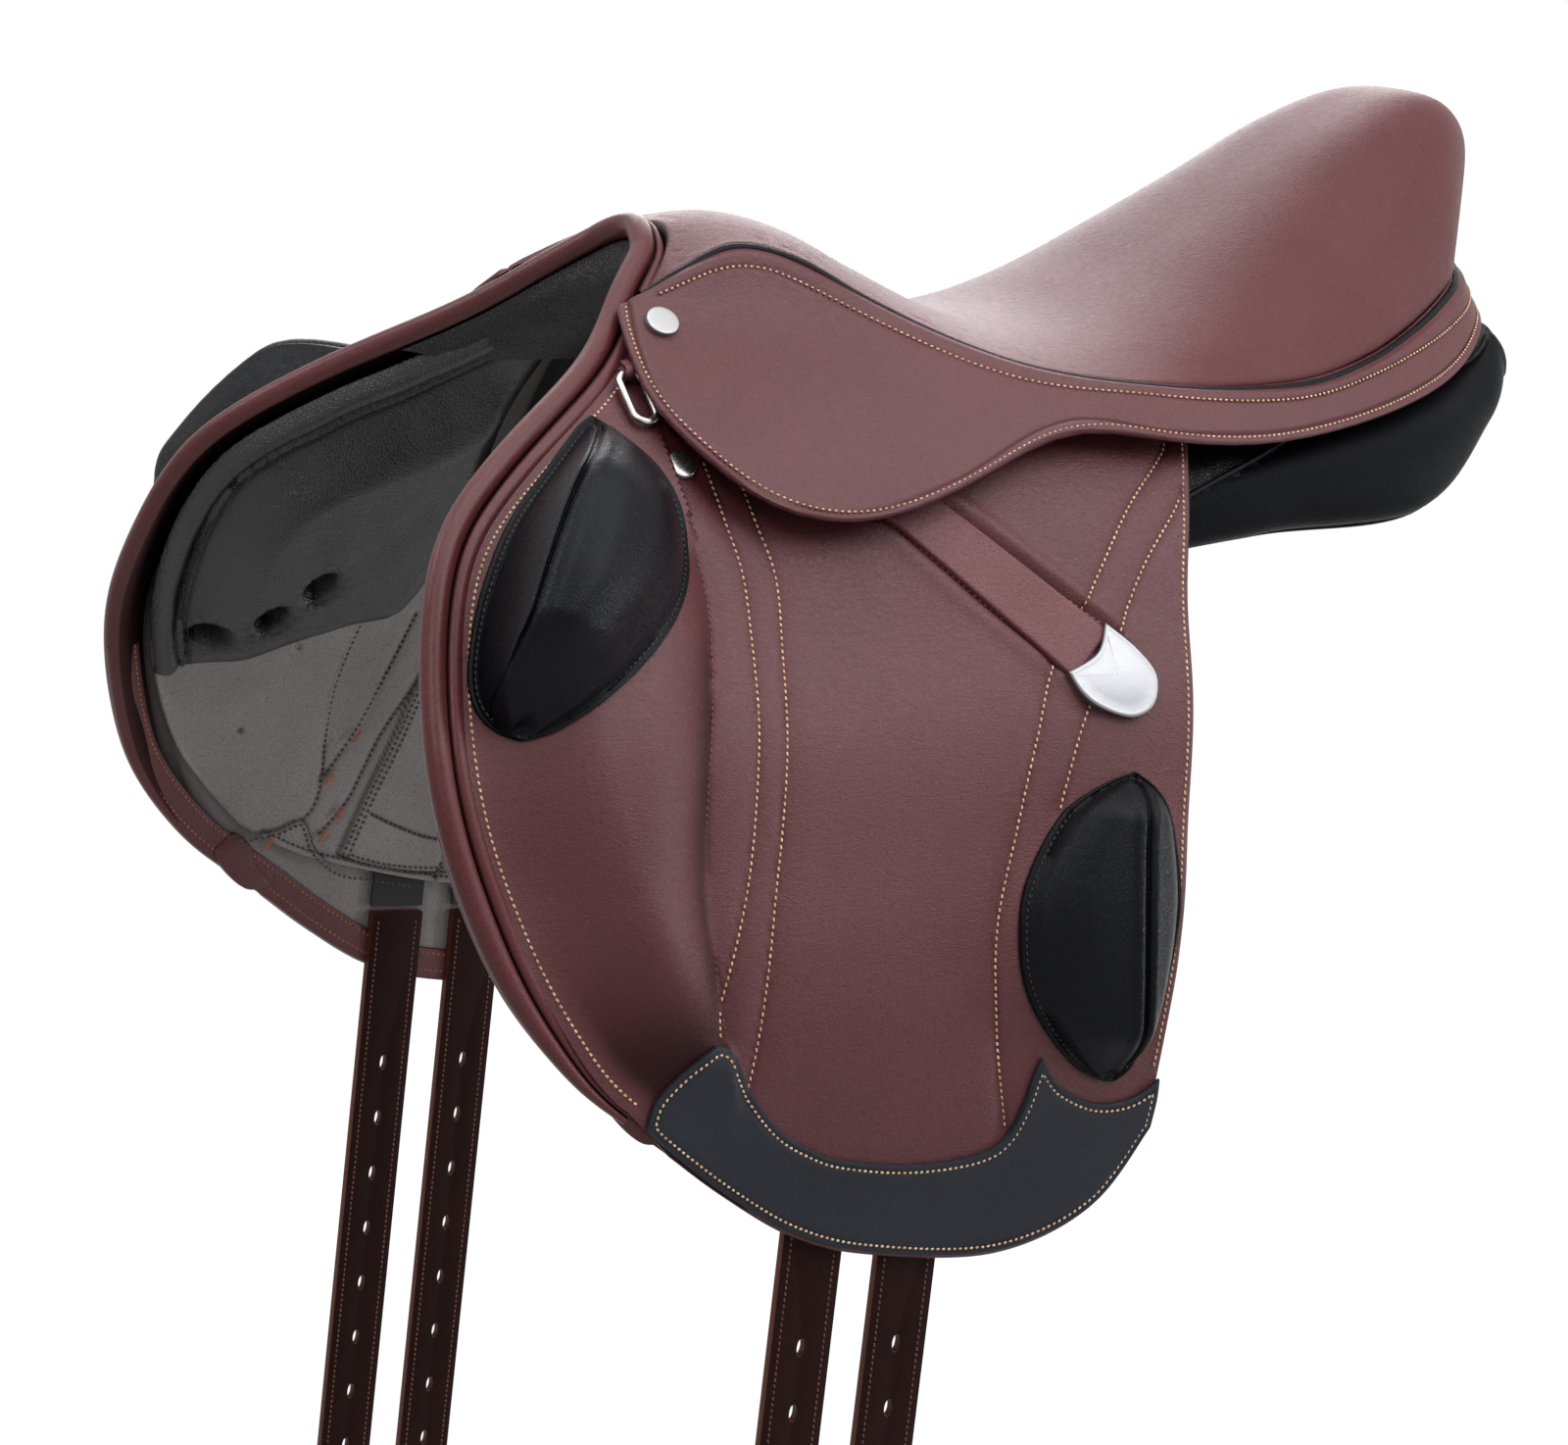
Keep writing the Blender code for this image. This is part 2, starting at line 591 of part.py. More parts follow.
def make_head():
    line, outs = head_line()

    def face(distance, x, rows=slice(None)):
        flat = (line + outs * distance)[rows]
        return [np.array((x, y, z)) for y, z in flat]

    half = HEAD_THICKNESS / 2
    finish(grid_solid([face(half, HEAD_REAR), face(half, HEAD_FRONT)],
                      [face(-half, HEAD_REAR), face(-half, HEAD_FRONT)]), "tree_head",
           "tree_moulding")
    rows = slice(len(line) // 2 - PLATE_SHARE, len(line) // 2 + PLATE_SHARE + 1)
    upper = -half - GAP
    lower = upper - PLATE_THICKNESS
    finish(grid_solid([face(upper, HEAD_REAR, rows), face(upper, HEAD_FRONT, rows)],
                      [face(lower, HEAD_REAR, rows), face(lower, HEAD_FRONT, rows)]),
           "gullet_plate", "steel")


def down_to(points, level):
    """The points of a falling path that lie above a level, and the point where it crosses it."""
    last = next(i for i, p in enumerate(points) if p[2] <= level)
    before, after = points[last - 1], points[last]
    share = (before[2] - level) / (before[2] - after[2])
    return points[:last] + [before + (after - before) * share]


def make_facing():
    """The black lining of the pommel, from the front roll back to the head of the tree."""
    points, ins, outs = roll_path()
    under = [p + d * ROLL_OUTER * 0.6 - n * (ROLL_FALL + GAP) for p, d, n in zip(points, ins, outs)]
    rim = down_to(under, FACING_FOOT)
    line, ways = head_line(3)
    inner_all = line - ways * (HEAD_THICKNESS / 2 + PLATE_THICKNESS + PLATE_THICKNESS)
    middle = len(line) // 2
    inner = [np.array((HEAD_FRONT + FACING_LAP, y, z))
             for y, z in inner_all[middle:middle + len(rim)]]
    top, bottom = [], []
    for a, b in zip(rim, inner):
        slope = unit(b - a)
        inward = unit(np.array((0.5, -a[1], -a[2] - 0.1)))
        row, row_low = [], []
        for share, puff in FACING_PUFF:
            p = a + (b - a) * share + inward * puff
            row.append(p)
            row_low.append(p + unit(inward - slope * np.dot(inward, slope)) * FACING_THICKNESS)
        top.append(row)
        bottom.append(row_low)
    mirror = np.array((1, -1, 1))
    top = [[p * mirror for p in row] for row in top[:0:-1]] + top
    bottom = [[p * mirror for p in row] for row in bottom[:0:-1]] + bottom
    finish(grid_solid(top, bottom), "pommel_facing", "black_leather")


# Skirts and strips

def skirt_lines():
    """The seam and the lower edge of the skirt, column by column."""
    seam = smooth(SEAT_RIBS[:, 2:5], 2)
    edge = smooth(SKIRT_EDGE, 2)
    along = np.gradient(seam, axis=0)
    along /= np.linalg.norm(along, axis=1, keepdims=True)
    down = edge - seam
    down -= along * np.sum(down * along, axis=1, keepdims=True)
    down /= np.linalg.norm(down, axis=1, keepdims=True)
    return seam, along, down, edge


def skirt_starts(seam, down):
    """The skirt's upper edge, just below the piping."""
    return seam + down * (2 * PIPING_RADIUS + PIPING_CLEARANCE)


def skirt_point(start, edge, share):
    """A point of the skirt's inner face: straight in side view, shaped by the flank across."""
    x, _y, z = start + (edge - start) * share

    def over(point):
        return point[1] - flank_point(point[0], min(point[2], SKIRT_HIGHEST))[1]

    on_flank = flank_point(x, min(z, SKIRT_HIGHEST))[1]
    straight = start[1] + (edge[1] - start[1]) * share
    shaped = on_flank + over(start) * (1 - share) + over(edge) * share
    follow = ease(*SKIRT_FOLLOWS, x) * SKIRT_FOLLOW_SHARE
    return np.array((x, straight + (shaped - straight) * follow, z))


def fold_share(start, edge):
    """How far down a column the fold crosses it; 1 where it doesn't."""
    way = FOLD_REAR - FOLD_FRONT
    side = [way[0] * (p[2] - FOLD_FRONT[1]) - way[1] * (p[0] - FOLD_FRONT[0]) for p in (start, edge)]
    if side[0] * side[1] >= 0:
        return 1.0
    share = side[0] / (side[0] - side[1])
    return share if (1 - share) * np.linalg.norm(edge - start) > LOOSE_LEAST else 1.0


def skirt_normals(grid):
    along = np.gradient(grid, axis=0)
    down = np.gradient(grid, axis=1)
    outs = np.cross(down, along)
    return outs / np.maximum(np.linalg.norm(outs, axis=-1, keepdims=True), 1e-12)


def fold_middle(outer, outs):
    """A point of the line on which the loose skirt lifts, which lies just outside the fold."""
    way = unit(outer[-1] - outer[0])
    out = outs.mean(axis=0)
    out = unit(out - way * np.dot(out, way))
    bow = max(np.dot(p - outer[0], out) for p in outer)
    return (outer[0] + outer[-1]) / 2 + out * (bow + FOLD_CLEARANCE)


def skirt_band_grid(starts, edges, folds):
    """The inner face of the sewn band, from the piping to the fold or, without one, the edge."""
    return np.array([[skirt_point(s, e, f * k / BAND_ROWS) for k in range(BAND_ROWS + 1)]
                     for s, e, f in zip(starts, edges, folds)])


def make_skirt(name, side):
    seam, _along, down, edges = skirt_lines()
    starts = skirt_starts(seam, down)
    folds = [fold_share(s, e) for s, e in zip(starts, edges)]
    band = skirt_band_grid(starts, edges, folds)
    outs = skirt_normals(band)
    finish(grid_solid(band + outs * SKIRT_THICKNESS, band), f"{name}_skirt_band",
           "brown_leather", side)
    loose = []
    for s, e, f in zip(starts, edges, folds):
        if f < 1:
            first = f + FOLD_GAP / np.linalg.norm(e - s)
            loose.append([skirt_point(s, e, first + (1 - first) * k / SKIRT_ROWS)
                          for k in range(SKIRT_ROWS + 1)])
    loose = np.array(loose)
    outs = skirt_normals(loose)
    outer = loose + outs * SKIRT_THICKNESS
    finish(grid_solid(outer, loose), f"{name}_skirt", "brown_leather", side,
           fold_middle(outer[:, 0], outs[:, 0]) * (1, side, 1))


def make_piping(name, side):
    seam, alongs, downs, _edges = skirt_lines()
    rings = []
    for point, along, down in zip(seam, alongs, downs):
        out = np.cross(along, down)
        centre = point + down * (PIPING_RADIUS + GAP)
        rings.append([centre + PIPING_RADIUS * (math.cos(a) * down + math.sin(a) * out)
                      for a in (2 * math.pi * k / 6 for k in range(6))])
    finish(tube_solid(rings), f"{name}_piping", "black_leather", side)


def make_nail(name, side):
    """The nail through the front of the skirt, and the stud on the flap below it."""
    seam, _along, down, edges = skirt_lines()
    starts = skirt_starts(seam, down)
    folds = [fold_share(s, e) for s, e in zip(starts, edges)]
    band = skirt_band_grid(starts, edges, folds)
    outs = skirt_normals(band)
    places = band.reshape(-1, 3)
    nearest = np.hypot(places[:, 0] - NAIL_PLACE[0], places[:, 2] - NAIL_PLACE[1]).argmin()
    foot, out = places[nearest], outs.reshape(-1, 3)[nearest]
    finish(disc_solid(foot + out * (SKIRT_THICKNESS + NAIL_LIFT), out, NAIL_RADIUS, NAIL_HEIGHT),
           f"{name}_nail", "nickel", side)
    x, z = STUD_PLACE
    finish(disc_solid(flank_point(x, z, ON_FLAP), flank_out(x, z), STUD_RADIUS, NAIL_HEIGHT),
           f"{name}_stud", "nickel", side)


# The ring, the stirrup bar

def frame_on_flank(x, z, distance):
    """A matrix whose X is backward, Y up the flank and Z out from it."""
    out = Vector(flank_out(x, z))
    up = Vector((1, 0, 0)).cross(out).normalized()
    matrix = Matrix((up.cross(out).normalized(), up, out)).transposed().to_4x4()
    matrix.translation = Vector(flank_point(x, z, distance))
    return matrix


def put(bm, matrix):
    bmesh.ops.transform(bm, matrix=matrix, verts=bm.verts)
    return bm


def extrude_flat(points, low, high, axes=(0, 1, 2)):
    """A prism: points in the first two axes, from low to high along the third."""
    bm = bmesh.new()
    rings = []
    for level in (low, high):
        ring = []
        for a, b in points:
            place = [0.0, 0.0, 0.0]
            place[axes[0]], place[axes[1]], place[axes[2]] = a, b, level
            ring.append(bm.verts.new(place))
        rings.append(ring)
    bm.faces.new(rings[0])
    bm.faces.new(rings[1][::-1])
    count = len(points)
    for i in range(count):
        j = (i + 1) % count
        bm.faces.new((rings[0][i], rings[0][j], rings[1][j], rings[1][i]))
    return bm


def make_ring(name, side):
    x, z = RING_PLACE
    level = ON_FLAP + RING_LIFT + GAP + RING_WIRE / 2
    matrix = frame_on_flank(x, z, level)
    radius = (RING_WIDTH - RING_WIRE) / 2
    straight = RING_LENGTH / 2 - RING_WIRE / 2 - radius
    path = []
    for centre, first in ((straight, 0.0), (-straight, math.pi)):
        for k in range(RING_BENDS + 1):
            a = first + math.pi * k / RING_BENDS
            path.append(Vector((radius * math.cos(a), centre + radius * math.sin(a), 0)))
    bm = bmesh.new()
    rings = []
    count = len(path)
    for i, point in enumerate(path):
        along = (path[(i + 1) % count] - path[i - 1]).normalized()
        side_way = along.cross(Vector((0, 0, 1)))
        rings.append([bm.verts.new(point + RING_WIRE / 2 * (math.cos(a) * side_way
                                                            + math.sin(a) * Vector((0, 0, 1))))
                      for a in (2 * math.pi * k / RING_SIDES for k in range(RING_SIDES))])
    for i in range(count):
        a, b = rings[i], rings[(i + 1) % count]
        for k in range(RING_SIDES):
            after = (k + 1) % RING_SIDES
            bm.faces.new((a[k], a[after], b[after], b[k]))
    # The ring turns on its upper round end, which runs through the chape
    centre = matrix @ Vector((0, straight, 0))
    finish(put(bm, matrix), f"{name}_ring", "nickel", side,
           Vector((centre.x, centre.y * side, centre.z)))
    return matrix, radius, straight


def make_chape(name, side, matrix, radius, straight):
    """The leather loop round the ring's top bar, sewn on the flap above it."""
    top = straight + radius
    inner = RING_WIRE / 2 + CHAPE_CLEARANCE
    outer = inner + CHAPE_THICKNESS
    arc = [math.pi * k / 6 for k in range(-1, 8)]
    outside = [(top - outer * math.sin(a), outer * math.cos(a)) for a in arc]
    inside = [(top - inner * math.sin(a), inner * math.cos(a)) for a in arc][::-1]
    tail = top + CHAPE_LENGTH
    loop = ([(tail, outer * 0.2)] + outside + [(tail, -outer)] + [(tail, -inner)]
            + inside + [(tail, -inner + 0.6 * MM)])
    low, high = -CHAPE_WIDTH / 2, CHAPE_WIDTH / 2
    bm = extrude_flat(loop, low, high, (1, 2, 0))
    finish(put(bm, matrix), f"{name}_ring_chape", "brown_leather", side)


def make_stirrup_bar(name, side):
    x, z = BAR_PLACE
    matrix = frame_on_flank(x, z, BAR_BASE)
    half = BAR_LENGTH / 2
    slot_in = BAR_PLATE
    slot_out = slot_in + BAR_SLOT
    outer = slot_out + BAR_BLADE
    lap = slot_out + BAR_BLADE / 2 - GAP / 2
    root = -half + BAR_ROOT
    plan = [(-half, 0), (-half, outer * 0.6), (-half + BAR_BEVEL, outer),
            (half - CATCH_LAP, outer), (half - CATCH_LAP, lap), (half, lap), (half, slot_out),
            (root + BAR_FILLET, slot_out), (root, slot_out - BAR_FILLET), (root, slot_in),
            (half - BAR_REACH, slot_in), (half - BAR_REACH, 0)]
    low, high = -BAR_HEIGHT / 2, BAR_HEIGHT / 2
    finish(put(extrude_flat(plan, low, high, (0, 2, 1)), matrix), f"{name}_stirrup_bar",
           "steel", side)
    pivot = Vector((half - CATCH_LAP / 2, 0, (lap + GAP + outer) / 2))
    edge = BAR_HEIGHT / 2
    reach = CATCH_LENGTH - CATCH_LAP / 2
    front = CATCH_LAP / 2 - GAP
    round_end = [(-front * math.sin(a), front * math.cos(a))
                 for a in (math.pi * k / 6 for k in range(7))][::-1]
    shape = round_end + [(reach * 0.6, edge * 0.85), (reach, edge * 0.6), (reach, -edge * 0.1),
                         (reach * 0.5, -front)]
    shape = [(pivot.x + a, pivot.y + b) for a, b in shape]
    centre = matrix @ pivot
    bm = put(extrude_flat(shape, lap + GAP, outer, (0, 1, 2)), matrix)
    finish(bm, f"{name}_bar_catch", "steel", side, Vector((centre.x, centre.y * side, centre.z)))
    places = {"front": root + RIVET_PLACES["front"], "rear": half - RIVET_PLACES["rear"]}
    for label, place in places.items():
        foot = matrix @ Vector((place, 0, BAR_PLATE + GAP))
        finish(disc_solid(np.array(foot), np.array(matrix.to_3x3() @ Vector((0, 0, 1))),
                          RIVET_RADIUS, RIVET_HEIGHT, 8), f"{name}_{label}_bar_rivet", "steel",
               side)


# Panels

def panel_loops():
    """The panel's sections: each an x, and the loop (y, z) round the panel there."""
    return [(row[0], smooth(row[1:].reshape(-1, 2), 2, closed=True))
            for row in smooth(PANEL_SECTIONS, PANEL_STEPS)]


def wall_at(loop, level):
    """How far from the middle plane the panel's inner wall stands at a level."""
    found = []
    for (y, z), (next_y, next_z) in zip(loop, np.roll(loop, -1, axis=0)):
        if (z - level) * (next_z - level) < 0:
            found.append(y + (next_y - y) * (level - z) / (next_z - z))
    return min(found)


def make_panel(name, side):
    rings = [[np.array((x, y, z)) for y, z in loop] for x, loop in panel_loops()]
    finish(tube_solid(rings), f"{name}_panel", "black_leather", side)


def pad_rise(x, z, rise):
    """The front pad's thickness, drawn in at its tufts."""
    for tuft in TUFTS:
        reach = math.hypot(x - tuft[0], z - tuft[1]) / TUFT_RADIUS
        rise -= TUFT_DEPTH * math.exp(-reach * reach)
    return max(rise, 0)


def make_front_pad(name, side):
    outer = LINING_INNER - GAP
    flat = flat_pad(PAD_FRONT, PAD_REAR, PAD_RISES * PAD_HEIGHT, PAD_ACROSS, rise_at=pad_rise)
    finish(wrap(flat, outer, outer - PAD_EDGE, -1), f"{name}_front_panel", "black_leather", side)


def make_channel():
    """The strip that closes the channel between the panels, over the horse's spine."""
    top, bottom = [], []
    for x, loop in panel_loops()[1:-1]:
        level = CHANNEL_LEVEL * loop[:, 1].max() + (1 - CHANNEL_LEVEL) * loop[:, 1].min()
        half = min(wall_at(loop, level), wall_at(loop, level - CHANNEL_THICKNESS)) - 4 * GAP
        line = [np.array((x, half * v, level + CHANNEL_CROWN * (1 - v * v)))
                for v in (-1, -0.5, 0, 0.5, 1)]
        top.append(line)
        bottom.append([p - (0, 0, CHANNEL_THICKNESS) for p in line])
    finish(grid_solid(top, bottom), "channel_lining", "webbing")


# Girth straps

def strap_centre(label):
    """Where a strap's top end sits in side view."""
    forward = STRAP_SPACING / 2 if label == "front" else -STRAP_SPACING / 2
    return STRAP_TOP + forward * np.array((1, math.tan(STRAP_LEAN)))


def make_web(name, label, side):
    x, z = strap_centre(label)
    half = STRAP_WIDTH / 2
    low = z + STRAP_THICKNESS / 2 + 2 * GAP
    shift = math.tan(STRAP_LEAN) * (WEB_TOP - low)
    tilt = half * math.tan(STRAP_LEAN)
    outline = [(x + half, low + tilt), (x + half - shift, WEB_TOP), (x - half - shift, WEB_TOP),
               (x - half, low - tilt)]
    finish(wrap(flat_shape(outline), STRAP_MIDDLE - WEB_THICKNESS / 2,
                STRAP_MIDDLE + WEB_THICKNESS / 2), f"{name}_{label}_girth_web", "webbing", side)


def hole_ring(level):
    """Six points round an oval hole, and the six round the cell that holds it."""
    a, b = HOLE_WIDTH / 2, HOLE_LENGTH / 2
    half, step = STRAP_WIDTH / 2, HOLE_PITCH / 2
    oval = [(a, b * 0.6), (0, b), (-a, b * 0.6), (-a, -b * 0.6), (0, -b), (a, -b * 0.6)]
    cell = [(half, step), (0, step), (-half, step), (-half, -step), (0, -step), (half, -step)]
    return [(x, y + level) for x, y in oval], [(x, y + level) for x, y in cell]


def strap_solid():
    """A strap in its own plane: x across, y down from its pivot, z through it."""
    flat = bmesh.new()
    half = STRAP_WIDTH / 2
    first = FIRST_HOLE - HOLE_PITCH / 2
    last = first + HOLE_PITCH * HOLE_COUNT
    plain = [(half, 0), (0, 0), (-half, 0), (-half, first), (0, first), (half, first)]
    flat.faces.new([flat.verts.new((x, y, 0)) for x, y in plain])
    for k in range(HOLE_COUNT):
        oval, cell = hole_ring(FIRST_HOLE + k * HOLE_PITCH)
        inner = [flat.verts.new((x, y, 0)) for x, y in oval]
        outer = [flat.verts.new((x, y, 0)) for x, y in cell]
        for i in range(6):
            j = (i + 1) % 6
            flat.faces.new((inner[i], inner[j], outer[j], outer[i]))
    tip = last + STRAP_END
    end = [(half, last), (0, last), (-half, last), (-half, tip - STRAP_END_CUT),
           (-half * 0.6, tip - STRAP_END_CUT * 0.3), (-half * 0.3, tip), (half * 0.3, tip),
           (half * 0.6, tip - STRAP_END_CUT * 0.3), (half, tip - STRAP_END_CUT)]
    flat.faces.new([flat.verts.new((x, y, 0)) for x, y in end])
    bmesh.ops.remove_doubles(flat, verts=flat.verts, dist=0.01 * MM)
    bm = bmesh.new()
    thick = STRAP_THICKNESS / 2
    low = {v: bm.verts.new((v.co.x, v.co.y, -thick)) for v in flat.verts}
    high = {v: bm.verts.new((v.co.x, v.co.y, thick)) for v in flat.verts}
    for face in flat.faces:
        bm.faces.new([low[v] for v in reversed(face.verts)])
        bm.faces.new([high[v] for v in face.verts])
    for edge in flat.edges:
        if not edge.is_boundary:
            continue
        a, b = edge.verts
        if a.co.y == 0 and b.co.y == 0:
            ends = [(v, low[v], high[v]) for v in (a, b)]
            rounds = [[lower] + [bm.verts.new((v.co.x, -thick * math.cos(t), thick * math.sin(t)))
                                 for t in (-math.pi / 4, 0, math.pi / 4)] + [upper]
                      for v, lower, upper in ends]
            for k in range(4):
                bm.faces.new((rounds[0][k], rounds[1][k], rounds[1][k + 1], rounds[0][k + 1]))
            for row, (v, _lower, _upper) in zip(rounds, ends):
                if v.co.x != 0:
                    bm.faces.new(row)
        else:
            bm.faces.new((low[a], low[b], high[b], high[a]))
    bmesh.ops.remove_doubles(bm, verts=bm.verts, dist=0.01 * MM)
    flat.free()
    return bm


def make_strap(name, label, side):
    x, z = strap_centre(label)
    place = Vector(flank_point(x, z, STRAP_MIDDLE))
    down = Vector((math.sin(STRAP_LEAN), 0, -math.cos(STRAP_LEAN)))
    out = Vector(flank_out(x, z))
    out = Vector((out.x, out.y, 0)).normalized()
    across = down.cross(out).normalized()
    out = across.cross(down).normalized()
    matrix = Matrix((across, down, out)).transposed().to_4x4()
    matrix.translation = place
    bm = put(strap_solid(), matrix)
    finish(bm, f"{name}_{label}_strap", "strap_leather", side,
           Vector((place.x, place.y * side, place.z)))


def make_side(name, side):
    make_flap(name, side)
    make_blocks(name, side)
    make_keeper(name, side)
    make_skirt(name, side)
    make_piping(name, side)
    make_nail(name, side)
    matrix, radius, straight = make_ring(name, side)
    make_chape(name, side, matrix, radius, straight)
    make_stirrup_bar(name, side)
    make_panel(name, side)
    make_front_pad(name, side)
    for label in ("front", "rear"):
        make_web(name, label, side)
        make_strap(name, label, side)


def main():
    for obj in list(bpy.data.objects):
        bpy.data.objects.remove(obj)
    make_seat()
    make_head()
    make_facing()
    make_front_roll()
    make_channel()
    for name, side in SIDES.items():
        make_side(name, side)


main()
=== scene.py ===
"""Dresses an eventing saddle: leather, padding, stitching, metal and studio, round its fixed frame.

+X points to the horse's head, +Y to the near (left) side, +Z up, in metres. Most leather follows one
surface, the flank, and each layer lies at its own distance out from it. The off side is the near
side's mirror image, so each class builds the near shape and turns it over for the off side.
"""

import json
import logging
import math
from dataclasses import dataclass, field
from enum import Enum

import bmesh
import bpy
import numpy as np
from mathutils import Matrix, Vector, kdtree, noise

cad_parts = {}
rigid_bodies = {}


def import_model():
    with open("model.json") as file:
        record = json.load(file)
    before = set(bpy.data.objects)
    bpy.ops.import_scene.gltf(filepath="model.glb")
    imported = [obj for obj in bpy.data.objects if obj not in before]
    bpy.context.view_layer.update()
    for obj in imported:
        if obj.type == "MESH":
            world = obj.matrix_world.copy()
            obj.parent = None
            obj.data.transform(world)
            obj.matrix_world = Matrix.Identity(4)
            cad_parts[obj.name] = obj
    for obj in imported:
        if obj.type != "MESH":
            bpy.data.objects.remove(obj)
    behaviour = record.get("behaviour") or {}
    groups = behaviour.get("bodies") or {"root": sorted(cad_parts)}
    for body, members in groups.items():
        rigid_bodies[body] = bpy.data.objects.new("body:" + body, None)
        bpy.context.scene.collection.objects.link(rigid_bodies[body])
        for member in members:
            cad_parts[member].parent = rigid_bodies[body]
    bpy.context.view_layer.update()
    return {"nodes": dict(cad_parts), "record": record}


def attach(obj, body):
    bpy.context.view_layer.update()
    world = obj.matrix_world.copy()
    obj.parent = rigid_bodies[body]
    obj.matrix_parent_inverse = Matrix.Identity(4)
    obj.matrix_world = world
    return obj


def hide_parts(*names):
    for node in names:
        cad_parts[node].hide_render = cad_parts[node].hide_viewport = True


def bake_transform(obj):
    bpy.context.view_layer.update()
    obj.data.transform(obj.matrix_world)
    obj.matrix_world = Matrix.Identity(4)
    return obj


Array = np.ndarray
Pair = tuple[Array, Array]
Skin = tuple[Array, list]
Colour = tuple[float, float, float]
Piece = bpy.types.Object
Node = bpy.types.Node
Socket = bpy.types.NodeSocket
MM = 0.001
SADDLE = "saddle"
# The hidden back of a sheet keeps one row and one column in this many
BACK_STEP = 4
LOG = logging.getLogger("saddle")


class Side(Enum):
    """The two sides of the saddle, as the sign of y."""

    NEAR = 1
    OFF = -1

    @property
    def label(self) -> str:
        """The side's name at the front of its pieces' names."""
        return self.name.lower()


# Curves and numbers


def mm(*values: object) -> Array:
    """Lengths in millimetres, or rows of them, as metres."""
    return np.array(values, float) * MM


def table(*rows: object) -> Array:
    """A field that holds lengths in millimetres, or rows of them, as metres."""
    return field(default_factory=lambda: mm(*rows))


def ease(low: float, high: float, value: Array) -> Array:
    """A smooth step, read at each value: 0 up to the low end, 1 from the high end on."""
    share = np.clip((value - low) / (high - low), 0, 1)
    return share * share * (3 - 2 * share)


def hump(distance: Array, width: float) -> Array:
    """A rounded rise: 1 at distance 0, and next to nothing at twice its width."""
    return np.exp(-(distance / width) ** 2)


def side_view(x: Array, z: Array) -> Array:
    """Places in side view as points on the middle plane."""
    return np.stack([x, 0 * x, z], -1)


def unit(vectors: Array) -> Array:
    """The same vectors at length 1."""
    return vectors / np.maximum(np.linalg.norm(vectors, axis=-1, keepdims=True), 1e-12)


def ways(path: Array) -> Array:
    """The way on along a path, at each of its points."""
    return unit(np.gradient(path, axis=0))


def smooth(points: Array, steps: int, closed: bool = False) -> Array:
    """A smooth curve through given rows.

    Args:
        points: the rows that the curve goes through.
        steps: how many rows to read in each span.
        closed: whether the last row joins the first.

    Returns:
        The rows of the curve.
    """
    rows = np.asarray(points, float)
    count = len(rows)
    found = []
    for i in range(count if closed else count - 1):
        near = [(i + k) % count if closed else min(max(i + k, 0), count - 1) for k in (-1, 0, 1, 2)]
        a, b, c, d = rows[near]
        t = (np.arange(steps) / steps)[:, None]
        found.append(b + 0.5 * t * (c - a + t * (2 * a - 5 * b + 4 * c - d
                                                 + t * (3 * (b - c) + d - a))))
    if not closed:
        found.append(rows[-1:])
    return np.concatenate(found)


def lengths(points: Array) -> Array:
    """How far each row lies along its path."""
    steps = np.linalg.norm(np.diff(points, axis=0), axis=1)
    return np.concatenate([[0.0], np.cumsum(steps)])


def along(points: Array, shares: Array) -> Array:
    """The rows of a path at shares of its length."""
    reach = lengths(points)
    return np.stack([np.interp(shares * reach[-1], reach, column) for column in points.T], -1)


def spaced(length: float, pitch: float, lips: Array = mm(0.4, 1.1, 2.2)) -> Array:
    """Shares of a length, at an even pitch but closer together at both ends.

    Their number of spans is a multiple of the step of a sheet's back.

    Args:
        length: the length to divide.
        pitch: the distance between shares in the middle.
        lips: distances from each end that also get a share.

    Returns:
        The shares, from 0 to 1.
    """
    ends = lips / length
    inner = max(int((length - 2 * lips[-1]) / pitch), 2)
    inner += (-(inner + 2 * len(lips))) % BACK_STEP
    middle = np.linspace(ends[-1], 1 - ends[-1], inner + 1)
    return np.concatenate([[0.0], ends[:-1], middle, 1 - ends[:-1][::-1], [1.0]])


def search_tree(points: Array) -> kdtree.KDTree:
    """Files points for a quick search of the nearest.

    Args:
        points: the points, each found by its number.

    Returns:
        The tree to search.
    """
    tree = kdtree.KDTree(len(points))
    for i, point in enumerate(points):
        tree.insert(point, i)
    tree.balance()
    return tree


